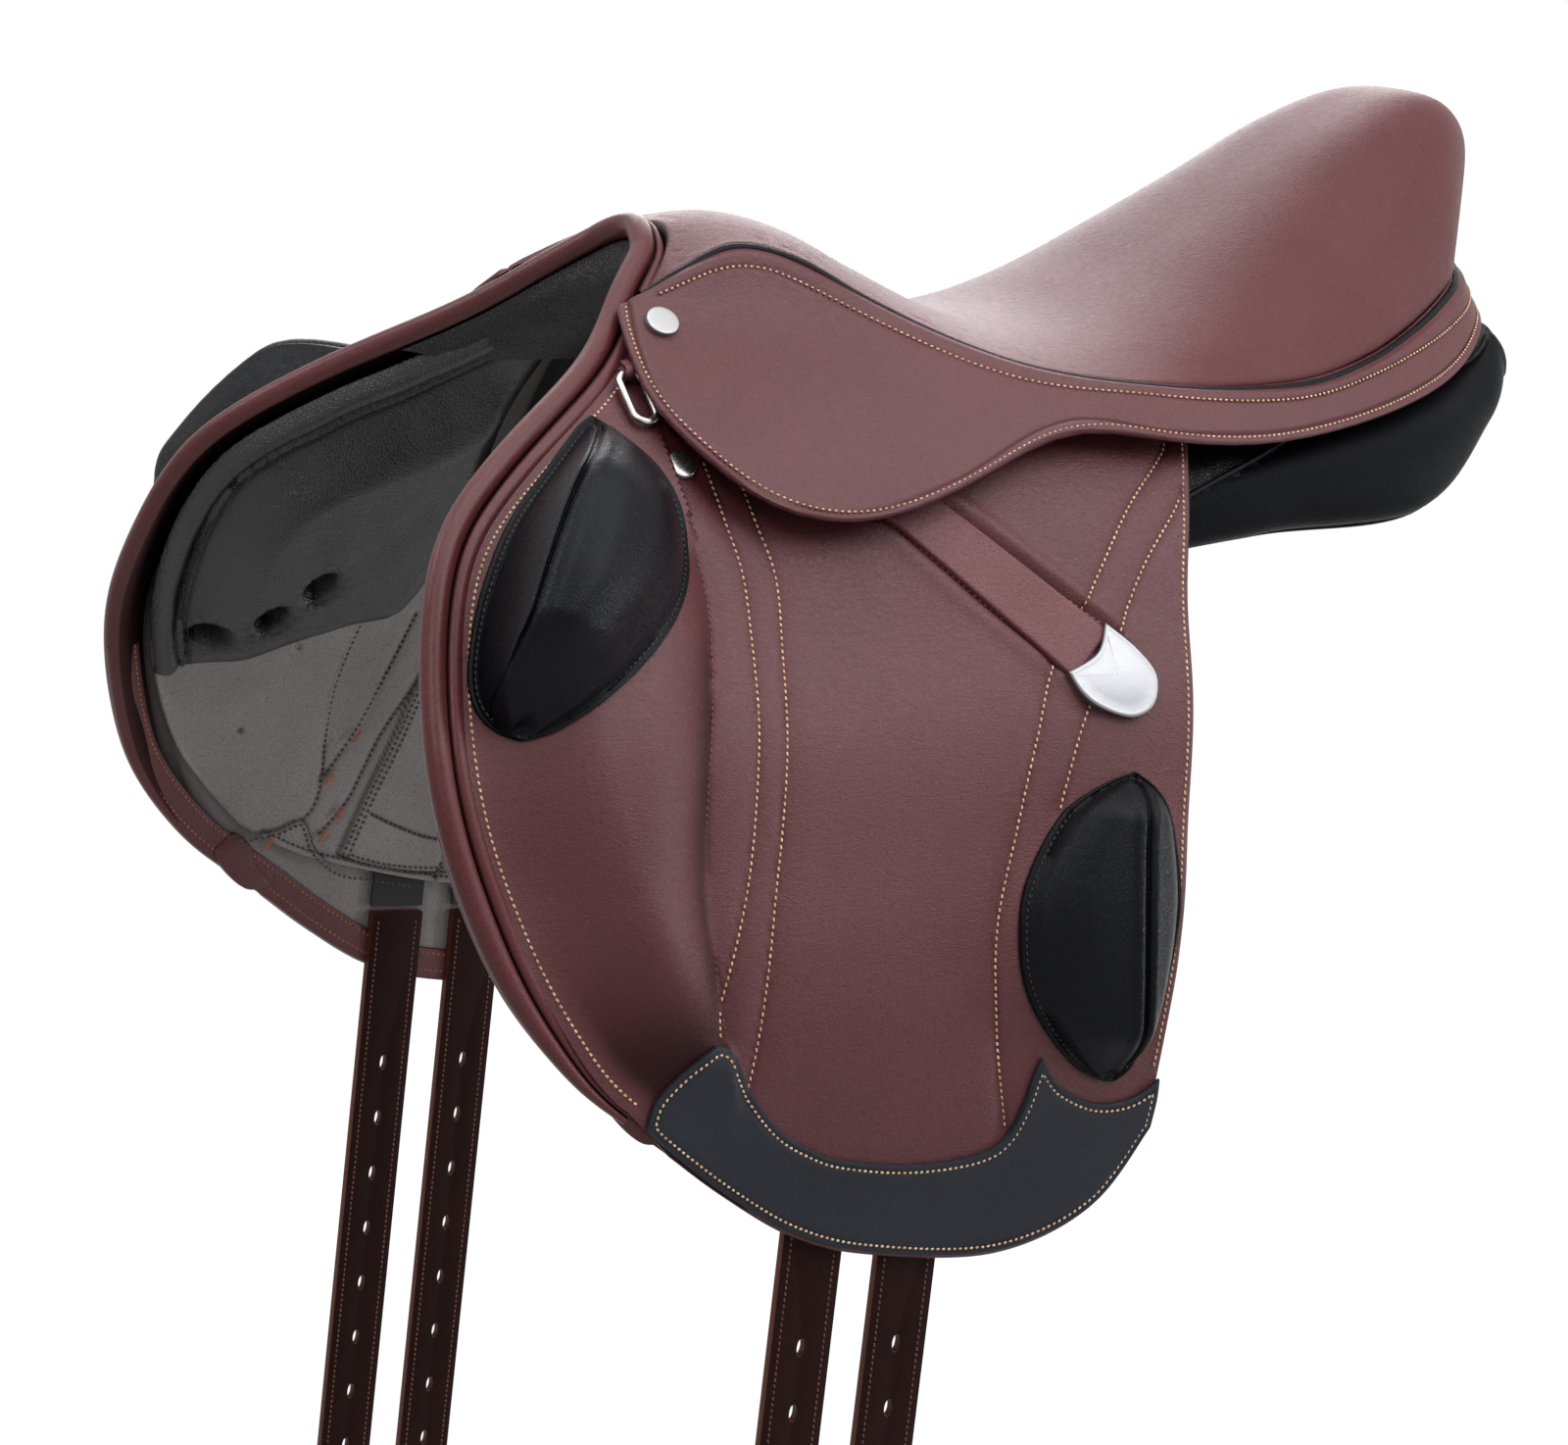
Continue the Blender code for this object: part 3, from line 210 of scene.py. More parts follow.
@dataclass
class Flank:
    """The half width of the saddle at each place (x, z) in side view."""

    profile: Array = table(
        (140, 0), (125, 20), (99, 51), (65, 95), (24, 133), (-19, 161), (-60, 187), (-108, 205),
        (-150, 217), (-200, 221), (-330, 221))
    rear_widening: float = 18 * MM
    widening_end: float = 170 * MM
    upper: float = 20 * MM
    lower: float = -110 * MM
    toe_in: float = 0.05
    toe_centre: float = 170 * MM
    reach: float = 4 * MM

    def __post_init__(self) -> None:
        """Reads the profile as heights and half widths, from the bottom up."""
        line = smooth(self.profile, 8)[::-1]
        self.heights, self.widths = line[:, 0], line[:, 1]

    def width(self, x: Array, z: Array) -> Array:
        """The half width at places in side view.

        Args:
            x: places along the saddle.
            z: their heights.

        Returns:
            The half width at each place.
        """
        upper = ease(self.lower, self.upper, z)
        wider = self.rear_widening * (1 - ease(0, self.widening_end, x))
        toed = self.toe_in * (self.toe_centre - x)
        return np.interp(z, self.heights, self.widths) + upper * wider + (1 - upper) * toed

    def out(self, x: Array, z: Array) -> Array:
        """The way out from the flank at places in side view.

        Args:
            x: places along the saddle.
            z: their heights.

        Returns:
            The way out at each place.
        """
        r = self.reach
        rise_x = (self.width(x + r, z) - self.width(x - r, z)) / (2 * r)
        rise_z = (self.width(x, z + r) - self.width(x, z - r)) / (2 * r)
        return unit(np.stack([-rise_x, np.ones_like(rise_x), -rise_z], -1))

    def place(self, x: Array, z: Array, distance: Array | float = 0.0) -> Array:
        """Points at a distance out from the flank, on the near side.

        Args:
            x: places along the saddle.
            z: their heights.
            distance: how far out from the flank they lie.

        Returns:
            One point for each place.
        """
        x, z = np.asarray(x, float), np.asarray(z, float)
        base = np.stack([x, self.width(x, z), z], -1)
        return base + self.out(x, z) * np.asarray(distance, float)[..., None]


FLANK = Flank()


def flank_sheet(x: Array, z: Array, front: Array, back: Array) -> Skin:
    """A closed skin whose front and back lie at their distances out from the flank."""
    return closed_sheet(FLANK.place(x, z, front), FLANK.place(x, z, back))


@dataclass
class Line:
    """A line in side view, such as a seam, that other shapes measure their distance from."""

    points: Array
    pitch: float = 1 * MM

    def __post_init__(self) -> None:
        """Reads the line at an even pitch, and files its points for quick search."""
        curve = smooth(self.points, 12)
        count = max(int(lengths(curve)[-1] / self.pitch), 2)
        self.path = along(curve, np.linspace(0, 1, count + 1))
        self.ways = ways(self.path)
        flat = np.insert(self.path, 1, 0, axis=1) if self.path.shape[1] == 2 else self.path
        self.tree = search_tree(flat)

    def reach(self, grid: Array) -> Array:
        """How far each point of a grid in space lies from the line."""
        found = [self.tree.find(point)[2] for point in grid.reshape(-1, 3)]
        return np.array(found).reshape(grid.shape[:-1])

    def measure(self, x: Array, z: Array) -> Pair:
        """Distances to the line.

        Args:
            x: places along the saddle.
            z: their heights.

        Returns:
            The distance of each place, and its sign: positive on the left of the line's own way.
        """
        found = [self.tree.find((a, 0, b)) for a, b in zip(x.ravel(), z.ravel())]
        distance = np.array([row[2] for row in found]).reshape(x.shape)
        index = np.array([row[1] for row in found]).reshape(x.shape)
        way, foot = self.ways[index], self.path[index]
        sign = np.sign(way[..., 0] * (z - foot[..., 1]) - way[..., 1] * (x - foot[..., 0]))
        return distance, sign


# Meshes


def grid_faces(rows: int, columns: int, start: int = 0, wrap: bool = False) -> Array:
    """The quads of a grid of points, row by row.

    Args:
        rows: how many rows of points there are.
        columns: how many points a row has.
        start: the number of the first point.
        wrap: whether the last column joins the first.

    Returns:
        Four point numbers for each face.
    """
    i = np.arange(rows - 1)[:, None]
    j = np.arange(columns if wrap else columns - 1)[None, :]
    after = (j + 1) % columns
    corners = (i * columns + j, (i + 1) * columns + j, (i + 1) * columns + after, i * columns + after)
    return start + np.stack(corners, -1).reshape(-1, 4)


def closed_sheet(front: Array, back: Array) -> Skin:
    """A closed skin with a fine front and a coarser back.

    Args:
        front: the grid of points of the face that shows.
        back: the grid behind it, of the same size.

    Returns:
        The points, and the faces.
    """
    rows, columns = front.shape[:2]
    coarse = back[::BACK_STEP, ::BACK_STEP]
    few_rows, few_columns = coarse.shape[:2]
    start = rows * columns
    points = np.concatenate([front.reshape(-1, 3), coarse.reshape(-1, 3)])
    faces = grid_faces(rows, columns).tolist()
    faces += grid_faces(few_rows, few_columns, start)[:, ::-1].tolist()
    fine = rim(rows, columns)
    few = [start + k for k in rim(few_rows, few_columns)]
    for k, (a, b) in enumerate(zip(few, few[1:] + few[:1])):
        edge = [fine[(k * BACK_STEP + i) % len(fine)] for i in range(BACK_STEP + 1)]
        middle = BACK_STEP // 2
        faces += [(edge[i + 1], edge[i], a) for i in range(middle)]
        faces.append((edge[middle], a, b))
        faces += [(edge[i + 1], edge[i], b) for i in range(middle, BACK_STEP)]
    return points, faces


def rim(rows: int, columns: int) -> list[int]:
    """The border points of a grid.

    Args:
        rows: how many rows of points it has.
        columns: how many points a row has.

    Returns:
        Their numbers, in order round it.
    """
    last = (rows - 1) * columns
    return (list(range(columns)) + [(i + 1) * columns - 1 for i in range(1, rows)]
            + [last + j for j in range(columns - 2, -1, -1)]
            + [i * columns for i in range(rows - 2, 0, -1)])


def closed_tube(rings: Array) -> Skin:
    """A closed skin through rings of points, with flat ends.

    Args:
        rings: the rings, each of as many points.

    Returns:
        The points, and the faces.
    """
    count, sides = rings.shape[:2]
    faces = grid_faces(count, sides, wrap=True).tolist()
    faces.append(list(range(sides)))
    faces.append([(count - 1) * sides + k for k in range(sides)][::-1])
    return rings.reshape(-1, 3), faces


def cord(path: Array, across: Array, out: Array, radius: float, sides: int) -> Skin:
    """The closed skin of a cord: across and out are square to its path at each point."""
    turn = 2 * math.pi / sides * np.arange(sides)[None, :, None]
    return closed_tube(path[:, None] + radius * (np.cos(turn) * across[:, None]
                                                 + np.sin(turn) * out[:, None]))


def link(name: str, data: object) -> Piece:
    """Puts a new object in the scene.

    Args:
        name: its name.
        data: its mesh, lamp or camera.

    Returns:
        The object.
    """
    obj = bpy.data.objects.new(name, data)
    bpy.context.scene.collection.objects.link(obj)
    return obj


def border(*columns: Array) -> Array:
    """How far a grid's points lie from its nearest border.

    Args:
        *columns: the points' coordinates, a grid of each.

    Returns:
        The distance of each point.
    """
    grid = np.stack(columns, -1)
    found = []
    for axis in (0, 1):
        step = np.linalg.norm(np.diff(grid, axis=axis), axis=-1)
        pad = [(0, 0), (0, 0)]
        pad[axis] = (1, 0)
        reach = np.pad(np.cumsum(step, axis=axis), pad)
        found += [reach, reach.take([-1], axis=axis) - reach]
    return np.minimum.reduce(found)


def lip(distance: Array, radius: float) -> Array:
    """How far a rounded edge falls away at distances from the border."""
    inside = np.clip(1 - distance / radius, 0, 1)
    return radius * (1 - np.sqrt(1 - inside ** 2))


@dataclass
class Patch:
    """A shape in side view between four chains of points: left and right run down."""

    left: Array
    right: Array
    top: Array
    bottom: Array
    pitch: float = 2 * MM

    def grid(self) -> Pair:
        """The shape as a grid.

        Returns:
            The x and the z of its points, row by row from the top.
        """
        chains = [smooth(chain, 10) for chain in (self.left, self.right, self.top, self.bottom)]
        high = max(lengths(chains[0])[-1], lengths(chains[1])[-1])
        wide = max(lengths(chains[2])[-1], lengths(chains[3])[-1])
        v, u = spaced(high, self.pitch), spaced(wide, self.pitch)
        left, right = along(chains[0], v)[:, None], along(chains[1], v)[:, None]
        top, bottom = along(chains[2], u)[None], along(chains[3], u)[None]
        v, u = v[:, None, None], u[None, :, None]
        corners = ((1 - u) * (1 - v) * top[:, :1] + u * (1 - v) * top[:, -1:]
                   + (1 - u) * v * bottom[:, :1] + u * v * bottom[:, -1:])
        flat = (1 - v) * top + v * bottom + (1 - u) * left + u * right - corners
        return flat[..., 0], flat[..., 1]


def mirrored(grid: Array) -> Array:
    """The near half of a grid with its mirror image before it; the first row lies in the middle."""
    return np.concatenate([(grid * (1, -1, 1))[:0:-1], grid])


def calm(grid: Array, rounds: int) -> Array:
    """Evens out a grid along its first axis, and keeps its ends.

    Args:
        grid: its points.
        rounds: how often each point moves to the middle of its neighbours.

    Returns:
        The calmer grid.
    """
    found = grid.copy()
    for _ in range(rounds):
        found[1:-1] = (found[:-2] + 2 * found[1:-1] + found[2:]) / 4
    return found


def wander(points: Array, scale: float, seed: float = 0.0) -> Array:
    """Gentle random rises at points, mostly between -1 and 1, and the same in each run."""
    flat = points.reshape(-1, 3) / scale + seed
    return np.array([noise.noise(Vector(p)) for p in flat]).reshape(points.shape[:-1])


# Finishes


def new_group(name: str, inputs: dict[str, float], outputs: tuple[str, ...]) -> bpy.types.NodeTree:
    """An empty shader node group with named sockets.

    Args:
        name: the group's name.
        inputs: its input sockets and their values.
        outputs: its output sockets.

    Returns:
        The group, with an input node and an output node named "in" and "out".
    """
    group = bpy.data.node_groups.new(name, "ShaderNodeTree")
    for label, value in inputs.items():
        socket = group.interface.new_socket(label, in_out="INPUT", socket_type="NodeSocketFloat")
        socket.default_value = value
    for label in outputs:
        group.interface.new_socket(label, in_out="OUTPUT", socket_type="NodeSocketFloat")
    group.nodes.new("NodeGroupInput").name = "in"
    group.nodes.new("NodeGroupOutput").name = "out"
    return group


class Wiring:
    """Adds and joins the nodes of one tree."""

    def __init__(self, tree: bpy.types.NodeTree) -> None:
        """Keeps the tree."""
        self.tree = tree

    def add(self, kind: str, settings: dict | None = None, **links: object) -> Node:
        """A new node.

        Args:
            kind: its type, without the leading ShaderNode.
            settings: properties to set on it.
            **links: for each input, by name with _ for a blank or by number as _0, a socket or value.

        Returns:
            The node.
        """
        node = self.tree.nodes.new("ShaderNode" + kind)
        for label, value in (settings or {}).items():
            setattr(node, label, value)
        self.feed(node, **links)
        return node

    def feed(self, node: Node, **links: object) -> None:
        """Sets a node's inputs.

        Args:
            node: the node.
            **links: as for a new node.
        """
        for label, value in links.items():
            key = int(label[1:]) if label[0] == "_" else label.replace("_", " ")
            if isinstance(value, Socket):
                self.tree.links.new(value, node.inputs[key])
            else:
                node.inputs[key].default_value = value

    def place(self) -> Socket:
        """The place on the piece that a pattern reads."""
        return self.add("TexCoord").outputs["Object"]

    def maths(self, operation: str, a: object, b: object = 0.0) -> Socket:
        """The output of a maths node."""
        return self.add("Math", {"operation": operation}, _0=a, _1=b).outputs[0]

    def ramp(self, value: Socket, low: float, high: float, first: float = 0.0,
             last: float = 1.0) -> Socket:
        """A value moved from the range low to high to the range first to last, and kept inside it."""
        node = self.add("MapRange", {"clamp": True}, _0=value, _1=low, _2=high, _3=first, _4=last)
        return node.outputs[0]

    def blend(self, share: object, a: object, b: object) -> Socket:
        """A colour between two others."""
        a, b = (v if isinstance(v, Socket) else (*v, 1) for v in (a, b))
        return self.add("Mix", {"data_type": "RGBA"}, _0=share, _6=a, _7=b).outputs[2]


def grain_group() -> bpy.types.NodeTree:
    """The group for leather: fine pores, stretched break lines and broad mottling.

    Returns:
        The group; its outputs are heights and a mottling mask, all about 0 to 1.
    """
    found = bpy.data.node_groups.get("leather_grain")
    if found:
        return found
    group = new_group("leather_grain", {"Pores": 900.0, "Break lines": 220.0, "Mottling": 14.0},
                      ("Pore height", "Break height", "Mottle"))
    wiring = Wiring(group)
    sizes, out = group.nodes["in"].outputs, group.nodes["out"]
    place = wiring.place()
    cells = wiring.add("TexVoronoi", {"feature": "DISTANCE_TO_EDGE"}, Vector=place,
                       Scale=sizes["Pores"])
    fine = wiring.add("TexNoise", Vector=place, Scale=sizes["Pores"], Detail=3.0)
    pores = wiring.maths("ADD", wiring.ramp(cells.outputs["Distance"], 0.0, 0.25, 0.0, 0.6),
                         wiring.maths("MULTIPLY", fine.outputs["Fac"], 0.4))
    tilt = wiring.add("Mapping", Vector=place, Rotation=(0.0, 0.6, 0.35), Scale=(1.0, 1.0, 1.7))
    lines = wiring.add("TexNoise", Vector=tilt.outputs[0], Scale=sizes["Break lines"], Detail=4.0,
                       Roughness=0.65, Distortion=1.1)
    broad = wiring.add("TexNoise", Vector=place, Scale=sizes["Mottling"], Detail=4.0, Roughness=0.6)
    wiring.feed(out, Pore_height=pores, Break_height=lines.outputs["Fac"],
                Mottle=wiring.ramp(broad.outputs["Fac"], 0.3, 0.7))
    return group


class Finish:
    """Something that a piece is finished with, made once as a material."""

    name: str

    def material(self) -> bpy.types.Material:
        """Makes the material at its first use.

        Returns:
            The material.
        """
        found = bpy.data.materials.get("finish_" + self.name)
        if found:
            return found
        made = bpy.data.materials.new("finish_" + self.name)
        made.use_nodes = True
        self.dress(Wiring(made.node_tree), made.node_tree.nodes["Principled BSDF"])
        return made

    def dress(self, wiring: Wiring, shader: Node) -> None:
        """Sets the shader's sockets; each finish has its own."""
        raise NotImplementedError


@dataclass(frozen=True)
class Leather(Finish):
    """A leather: its colours, one for pores and painted shade, its shine, and its grain's depth."""

    name: str
    colour: Colour
    deep: Colour
    light: Colour
    roughness: float = 0.42
    specular: float = 0.2
    pores: float = 900.0
    break_lines: float = 220.0
    pore_depth: float = 0.10 * MM
    break_depth: float = 0.10 * MM

    def dress(self, wiring: Wiring, shader: Node) -> None:
        """Lays colour, painted shade, roughness and grain on the shader.

        Args:
            wiring: adds nodes to the material.
            shader: the material's shader.
        """
        grain = wiring.add("Group", {"node_tree": grain_group()}, Pores=self.pores,
                           Break_lines=self.break_lines)
        crease = wiring.add("Attribute", {"attribute_name": "crease"}).outputs["Fac"]
        mottled = wiring.blend(grain.outputs["Mottle"], self.colour, self.light)
        pitted = wiring.ramp(grain.outputs["Pore height"], 0.15, 0.6, 0.55, 0.0)
        darker = wiring.maths("MAXIMUM", pitted, crease)
        colour = wiring.blend(darker, mottled, self.deep)
        rough = wiring.ramp(grain.outputs["Break height"], 0.25, 0.75, self.roughness - 0.06,
                            self.roughness + 0.08)
        low = wiring.add("Bump", Strength=1.0, Distance=self.break_depth,
                         Height=grain.outputs["Break height"])
        high = wiring.add("Bump", Strength=1.0, Distance=self.pore_depth,
                          Height=grain.outputs["Pore height"], Normal=low.outputs[0])
        # Painted shade: in a groove little light gets out, neither scattered nor reflected
        wiring.feed(shader, Base_Color=colour, Roughness=rough, Normal=high.outputs[0],
                    Metallic=wiring.maths("MULTIPLY", crease, 0.85), Specular_IOR_Level=self.specular)


@dataclass(frozen=True)
class Thread(Finish):
    """A waxed thread with its twist."""

    name: str
    colour: Colour
    dark: Colour
    twists: float = 1600.0

    def dress(self, wiring: Wiring, shader: Node) -> None:
        """Lays twist lines and a slight colour change on the shader.

        Args:
            wiring: adds nodes to the material.
            shader: the material's shader.
        """
        place = wiring.place()
        twist = wiring.add("TexWave", {"bands_direction": "DIAGONAL"}, Vector=place,
                           Scale=self.twists, Distortion=0.6)
        broad = wiring.add("TexNoise", Vector=place, Scale=160.0, Detail=2.0)
        colour = wiring.blend(wiring.ramp(broad.outputs["Fac"], 0.3, 0.75), self.dark, self.colour)
        bump = wiring.add("Bump", Strength=0.5, Distance=0.08 * MM, Height=twist.outputs["Fac"])
        wiring.feed(shader, Base_Color=colour, Normal=bump.outputs[0], Roughness=0.55)


@dataclass(frozen=True)
class Metal(Finish):
    """A metal with fine scratches."""

    name: str
    colour: Colour
    roughness: float
    scratches: float = 0.08

    def dress(self, wiring: Wiring, shader: Node) -> None:
        """Lays scratches on the shader's roughness and height.

        Args:
            wiring: adds nodes to the material.
            shader: the material's shader.
        """
        place = wiring.place()
        lines = wiring.add("Mapping", Vector=place, Scale=(1.0, 1.0, 14.0), Rotation=(0.4, 0.2, 0.0))
        fine = wiring.add("TexNoise", Vector=lines.outputs[0], Scale=260.0, Detail=5.0)
        rough = wiring.ramp(fine.outputs["Fac"], 0.3, 0.7, self.roughness,
                            self.roughness + self.scratches)
        bump = wiring.add("Bump", Strength=0.25, Distance=0.03 * MM, Height=fine.outputs["Fac"])
        wiring.feed(shader, Base_Color=(*self.colour, 1), Metallic=1.0, Roughness=rough,
                    Normal=bump.outputs[0])


@dataclass(frozen=True)
class Woven(Finish):
    """A woven tape or cloth."""

    name: str
    colour: Colour
    light: Colour
    threads: float = 700.0

    def dress(self, wiring: Wiring, shader: Node) -> None:
        """Lays two crossing sets of threads on the shader.

        Args:
            wiring: adds nodes to the material.
            shader: the material's shader.
        """
        place = wiring.place()
        across = wiring.add("TexWave", {"bands_direction": "X"}, Vector=place, Scale=self.threads)
        down = wiring.add("TexWave", {"bands_direction": "Z"}, Vector=place, Scale=self.threads)
        weave = wiring.maths("MULTIPLY", across.outputs["Fac"], down.outputs["Fac"])
        colour = wiring.blend(weave, self.colour, self.light)
        bump = wiring.add("Bump", Strength=0.7, Distance=0.2 * MM, Height=weave)
        wiring.feed(shader, Base_Color=colour, Normal=bump.outputs[0], Roughness=0.85)


@dataclass(frozen=True)
class Moulding(Finish):
    """A moulded plastic with a fine spark-eroded skin."""

    name: str
    colour: Colour
    roughness: float = 0.6

    def dress(self, wiring: Wiring, shader: Node) -> None:
        """Lays a fine skin on the shader.

        Args:
            wiring: adds nodes to the material.
            shader: the material's shader.
        """
        place = wiring.place()
        fine = wiring.add("TexNoise", Vector=place, Scale=1400.0, Detail=2.0)
        tone = wiring.blend(fine.outputs["Fac"], self.colour, tuple(1.4 * c for c in self.colour))
        bump = wiring.add("Bump", Strength=0.4, Distance=0.06 * MM, Height=fine.outputs["Fac"])
        wiring.feed(shader, Base_Color=tone, Normal=bump.outputs[0], Roughness=self.roughness)


BROWN = Leather("brown_leather", (0.074, 0.0110, 0.0135), (0.008, 0.0012, 0.0012),
                (0.096, 0.018, 0.021), roughness=0.44, specular=0.36, break_lines=330.0,
                break_depth=0.36 * MM)
SEAT_BROWN = Leather("seat_leather", (0.086, 0.0155, 0.0175), (0.013, 0.002, 0.002),
                     (0.104, 0.023, 0.026), roughness=0.43, specular=0.22, break_lines=300.0,
                     pore_depth=0.14 * MM, break_depth=0.34 * MM)
KEEPER = Leather("keeper_leather", (0.135, 0.040, 0.044), (0.013, 0.002, 0.002),
                 (0.165, 0.055, 0.060), roughness=0.45, specular=0.30, break_lines=330.0,
                 break_depth=0.34 * MM)
EDGE_BROWN = Leather("edge_leather", (0.092, 0.018, 0.019), (0.008, 0.0015, 0.0015),
                     (0.110, 0.025, 0.027), roughness=0.36, specular=0.24, pore_depth=0.05 * MM)
BLACK = Leather("black_leather", (0.0045, 0.0046, 0.0062), (0.001, 0.001, 0.0012),
                (0.0065, 0.0068, 0.0092), roughness=0.26, specular=0.08, break_lines=320.0,
                break_depth=0.16 * MM)
PEBBLED = Leather("pebbled_black", (0.0065, 0.0063, 0.0070), (0.001, 0.001, 0.001),
                  (0.010, 0.0098, 0.011), specular=0.24, pores=520.0, pore_depth=0.34 * MM,
                  break_depth=0.3 * MM)
PAD = Leather("pad_leather", (0.0050, 0.0050, 0.0060), (0.0008, 0.0008, 0.001),
              (0.008, 0.0078, 0.009), roughness=0.34, specular=0.42, pores=600.0,
              pore_depth=0.22 * MM, break_depth=0.3 * MM)
PANEL = Leather("panel_leather", (0.0045, 0.0046, 0.0060), (0.001, 0.001, 0.0012),
                (0.0065, 0.0068, 0.0088), specular=0.03, pore_depth=0.12 * MM)
SLATE = Leather("guard_leather", (0.012, 0.014, 0.020), (0.003, 0.004, 0.006),
                (0.017, 0.020, 0.027), roughness=0.56, pore_depth=0.06 * MM)
LINING = Leather("lining_leather", (0.190, 0.167, 0.161), (0.018, 0.014, 0.011),
                 (0.245, 0.220, 0.214), roughness=0.50, specular=0.40, break_depth=0.2 * MM)
STRAP = Leather("strap_leather", (0.013, 0.0035, 0.0028), (0.004, 0.0012, 0.001),
                (0.020, 0.0055, 0.0043), roughness=0.50, specular=0.06)
STRAP_EDGE = Leather("strap_edge", (0.085, 0.021, 0.010), (0.030, 0.008, 0.004),
                     (0.115, 0.030, 0.015), roughness=0.50, specular=0.10)
GOLD = Thread("gold_thread", (0.86, 0.62, 0.42), (0.50, 0.28, 0.14))
DARK = Thread("black_thread", (0.016, 0.016, 0.019), (0.005, 0.005, 0.006))
RUST = Thread("rust_thread", (0.150, 0.048, 0.026), (0.050, 0.014, 0.008))
ORANGE = Thread("orange_thread", (0.40, 0.13, 0.045), (0.25, 0.075, 0.025))
LINING_THREAD = Thread("lining_thread", (0.060, 0.042, 0.026), (0.016, 0.012, 0.009))
STRAP_THREAD = Thread("strap_thread", (0.22, 0.075, 0.035), (0.10, 0.032, 0.016))
NICKEL = Metal("polished_nickel", (0.48, 0.475, 0.465), 0.24)
NAIL = Metal("nail_nickel", (0.26, 0.258, 0.255), 0.34)
SATIN = Metal("satin_nickel", (0.225, 0.227, 0.235), 0.38)
STEEL = Metal("brushed_steel", (0.46, 0.46, 0.47), 0.30, 0.2)
TAPE = Woven("webbing", (0.006, 0.006, 0.007), (0.018, 0.018, 0.020))
TREE = Moulding("tree_moulding", (0.026, 0.026, 0.028))


# Pieces and stitching


def keep(obj: Piece, nodes: tuple[str, ...] = (),
         body: str | None = SADDLE) -> Piece:
    """Puts a finished piece on its body.

    Args:
        obj: the piece.
        nodes: the frame's nodes that it stands for.
        body: the body that it rides on, or None to leave it on no body.

    Returns:
        The piece.
    """
    if body:
        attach(obj, body)
    if nodes:
        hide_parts(*nodes)
    LOG.info("%s: %d faces on %s", obj.name, len(obj.data.polygons), body or "two bodies")
    return obj


def lay(name: str, skin: Skin, finish: Finish, nodes: tuple[str, ...] = (),
        side: Side | None = None, marks: Array | None = None, smooth_angle: float = 40,
        body: str | None = SADDLE) -> Piece:
    """Makes a piece of its skin, with its faces pointing out, and puts it on its body.

    Args:
        name: its name, without its side.
        skin: its points, on the near side, and the point numbers of its faces.
        finish: what it is finished with.
        nodes: the frame's nodes that it stands for, without their side.
        side: the side that it belongs to, or None for a piece on the middle.
        marks: the painted shade on its first points, in grooves and folds, from 0 to 1.
        smooth_angle: faces that meet at less than this, in degrees, are shaded as one.
        body: the body that it rides on, or None to leave it on no body.

    Returns:
        The piece.
    """
    prefix = f"{side.label}_" if side else ""
    points, faces = skin
    mesh = bpy.data.meshes.new(prefix + name)
    mesh.from_pydata((points * (1, side.value if side else 1, 1)).tolist(), [], faces)
    bm = bmesh.new()
    bm.from_mesh(mesh)
    bmesh.ops.recalc_face_normals(bm, faces=bm.faces)
    bm.to_mesh(mesh)
    bm.free()
    mesh.shade_smooth()
    mesh.set_sharp_from_angle(angle=math.radians(smooth_angle))
    if marks is not None:
        # The marks go on as painted shade, which the leather finishes read
        layer = mesh.attributes.new("crease", "FLOAT", "POINT")
        depths = np.pad(marks.ravel(), (0, len(points) - marks.size))
        layer.data.foreach_set("value", depths.astype(np.float32))
    mesh.materials.append(finish.material())
    return keep(link(prefix + name, mesh), tuple(prefix + node for node in nodes), body)


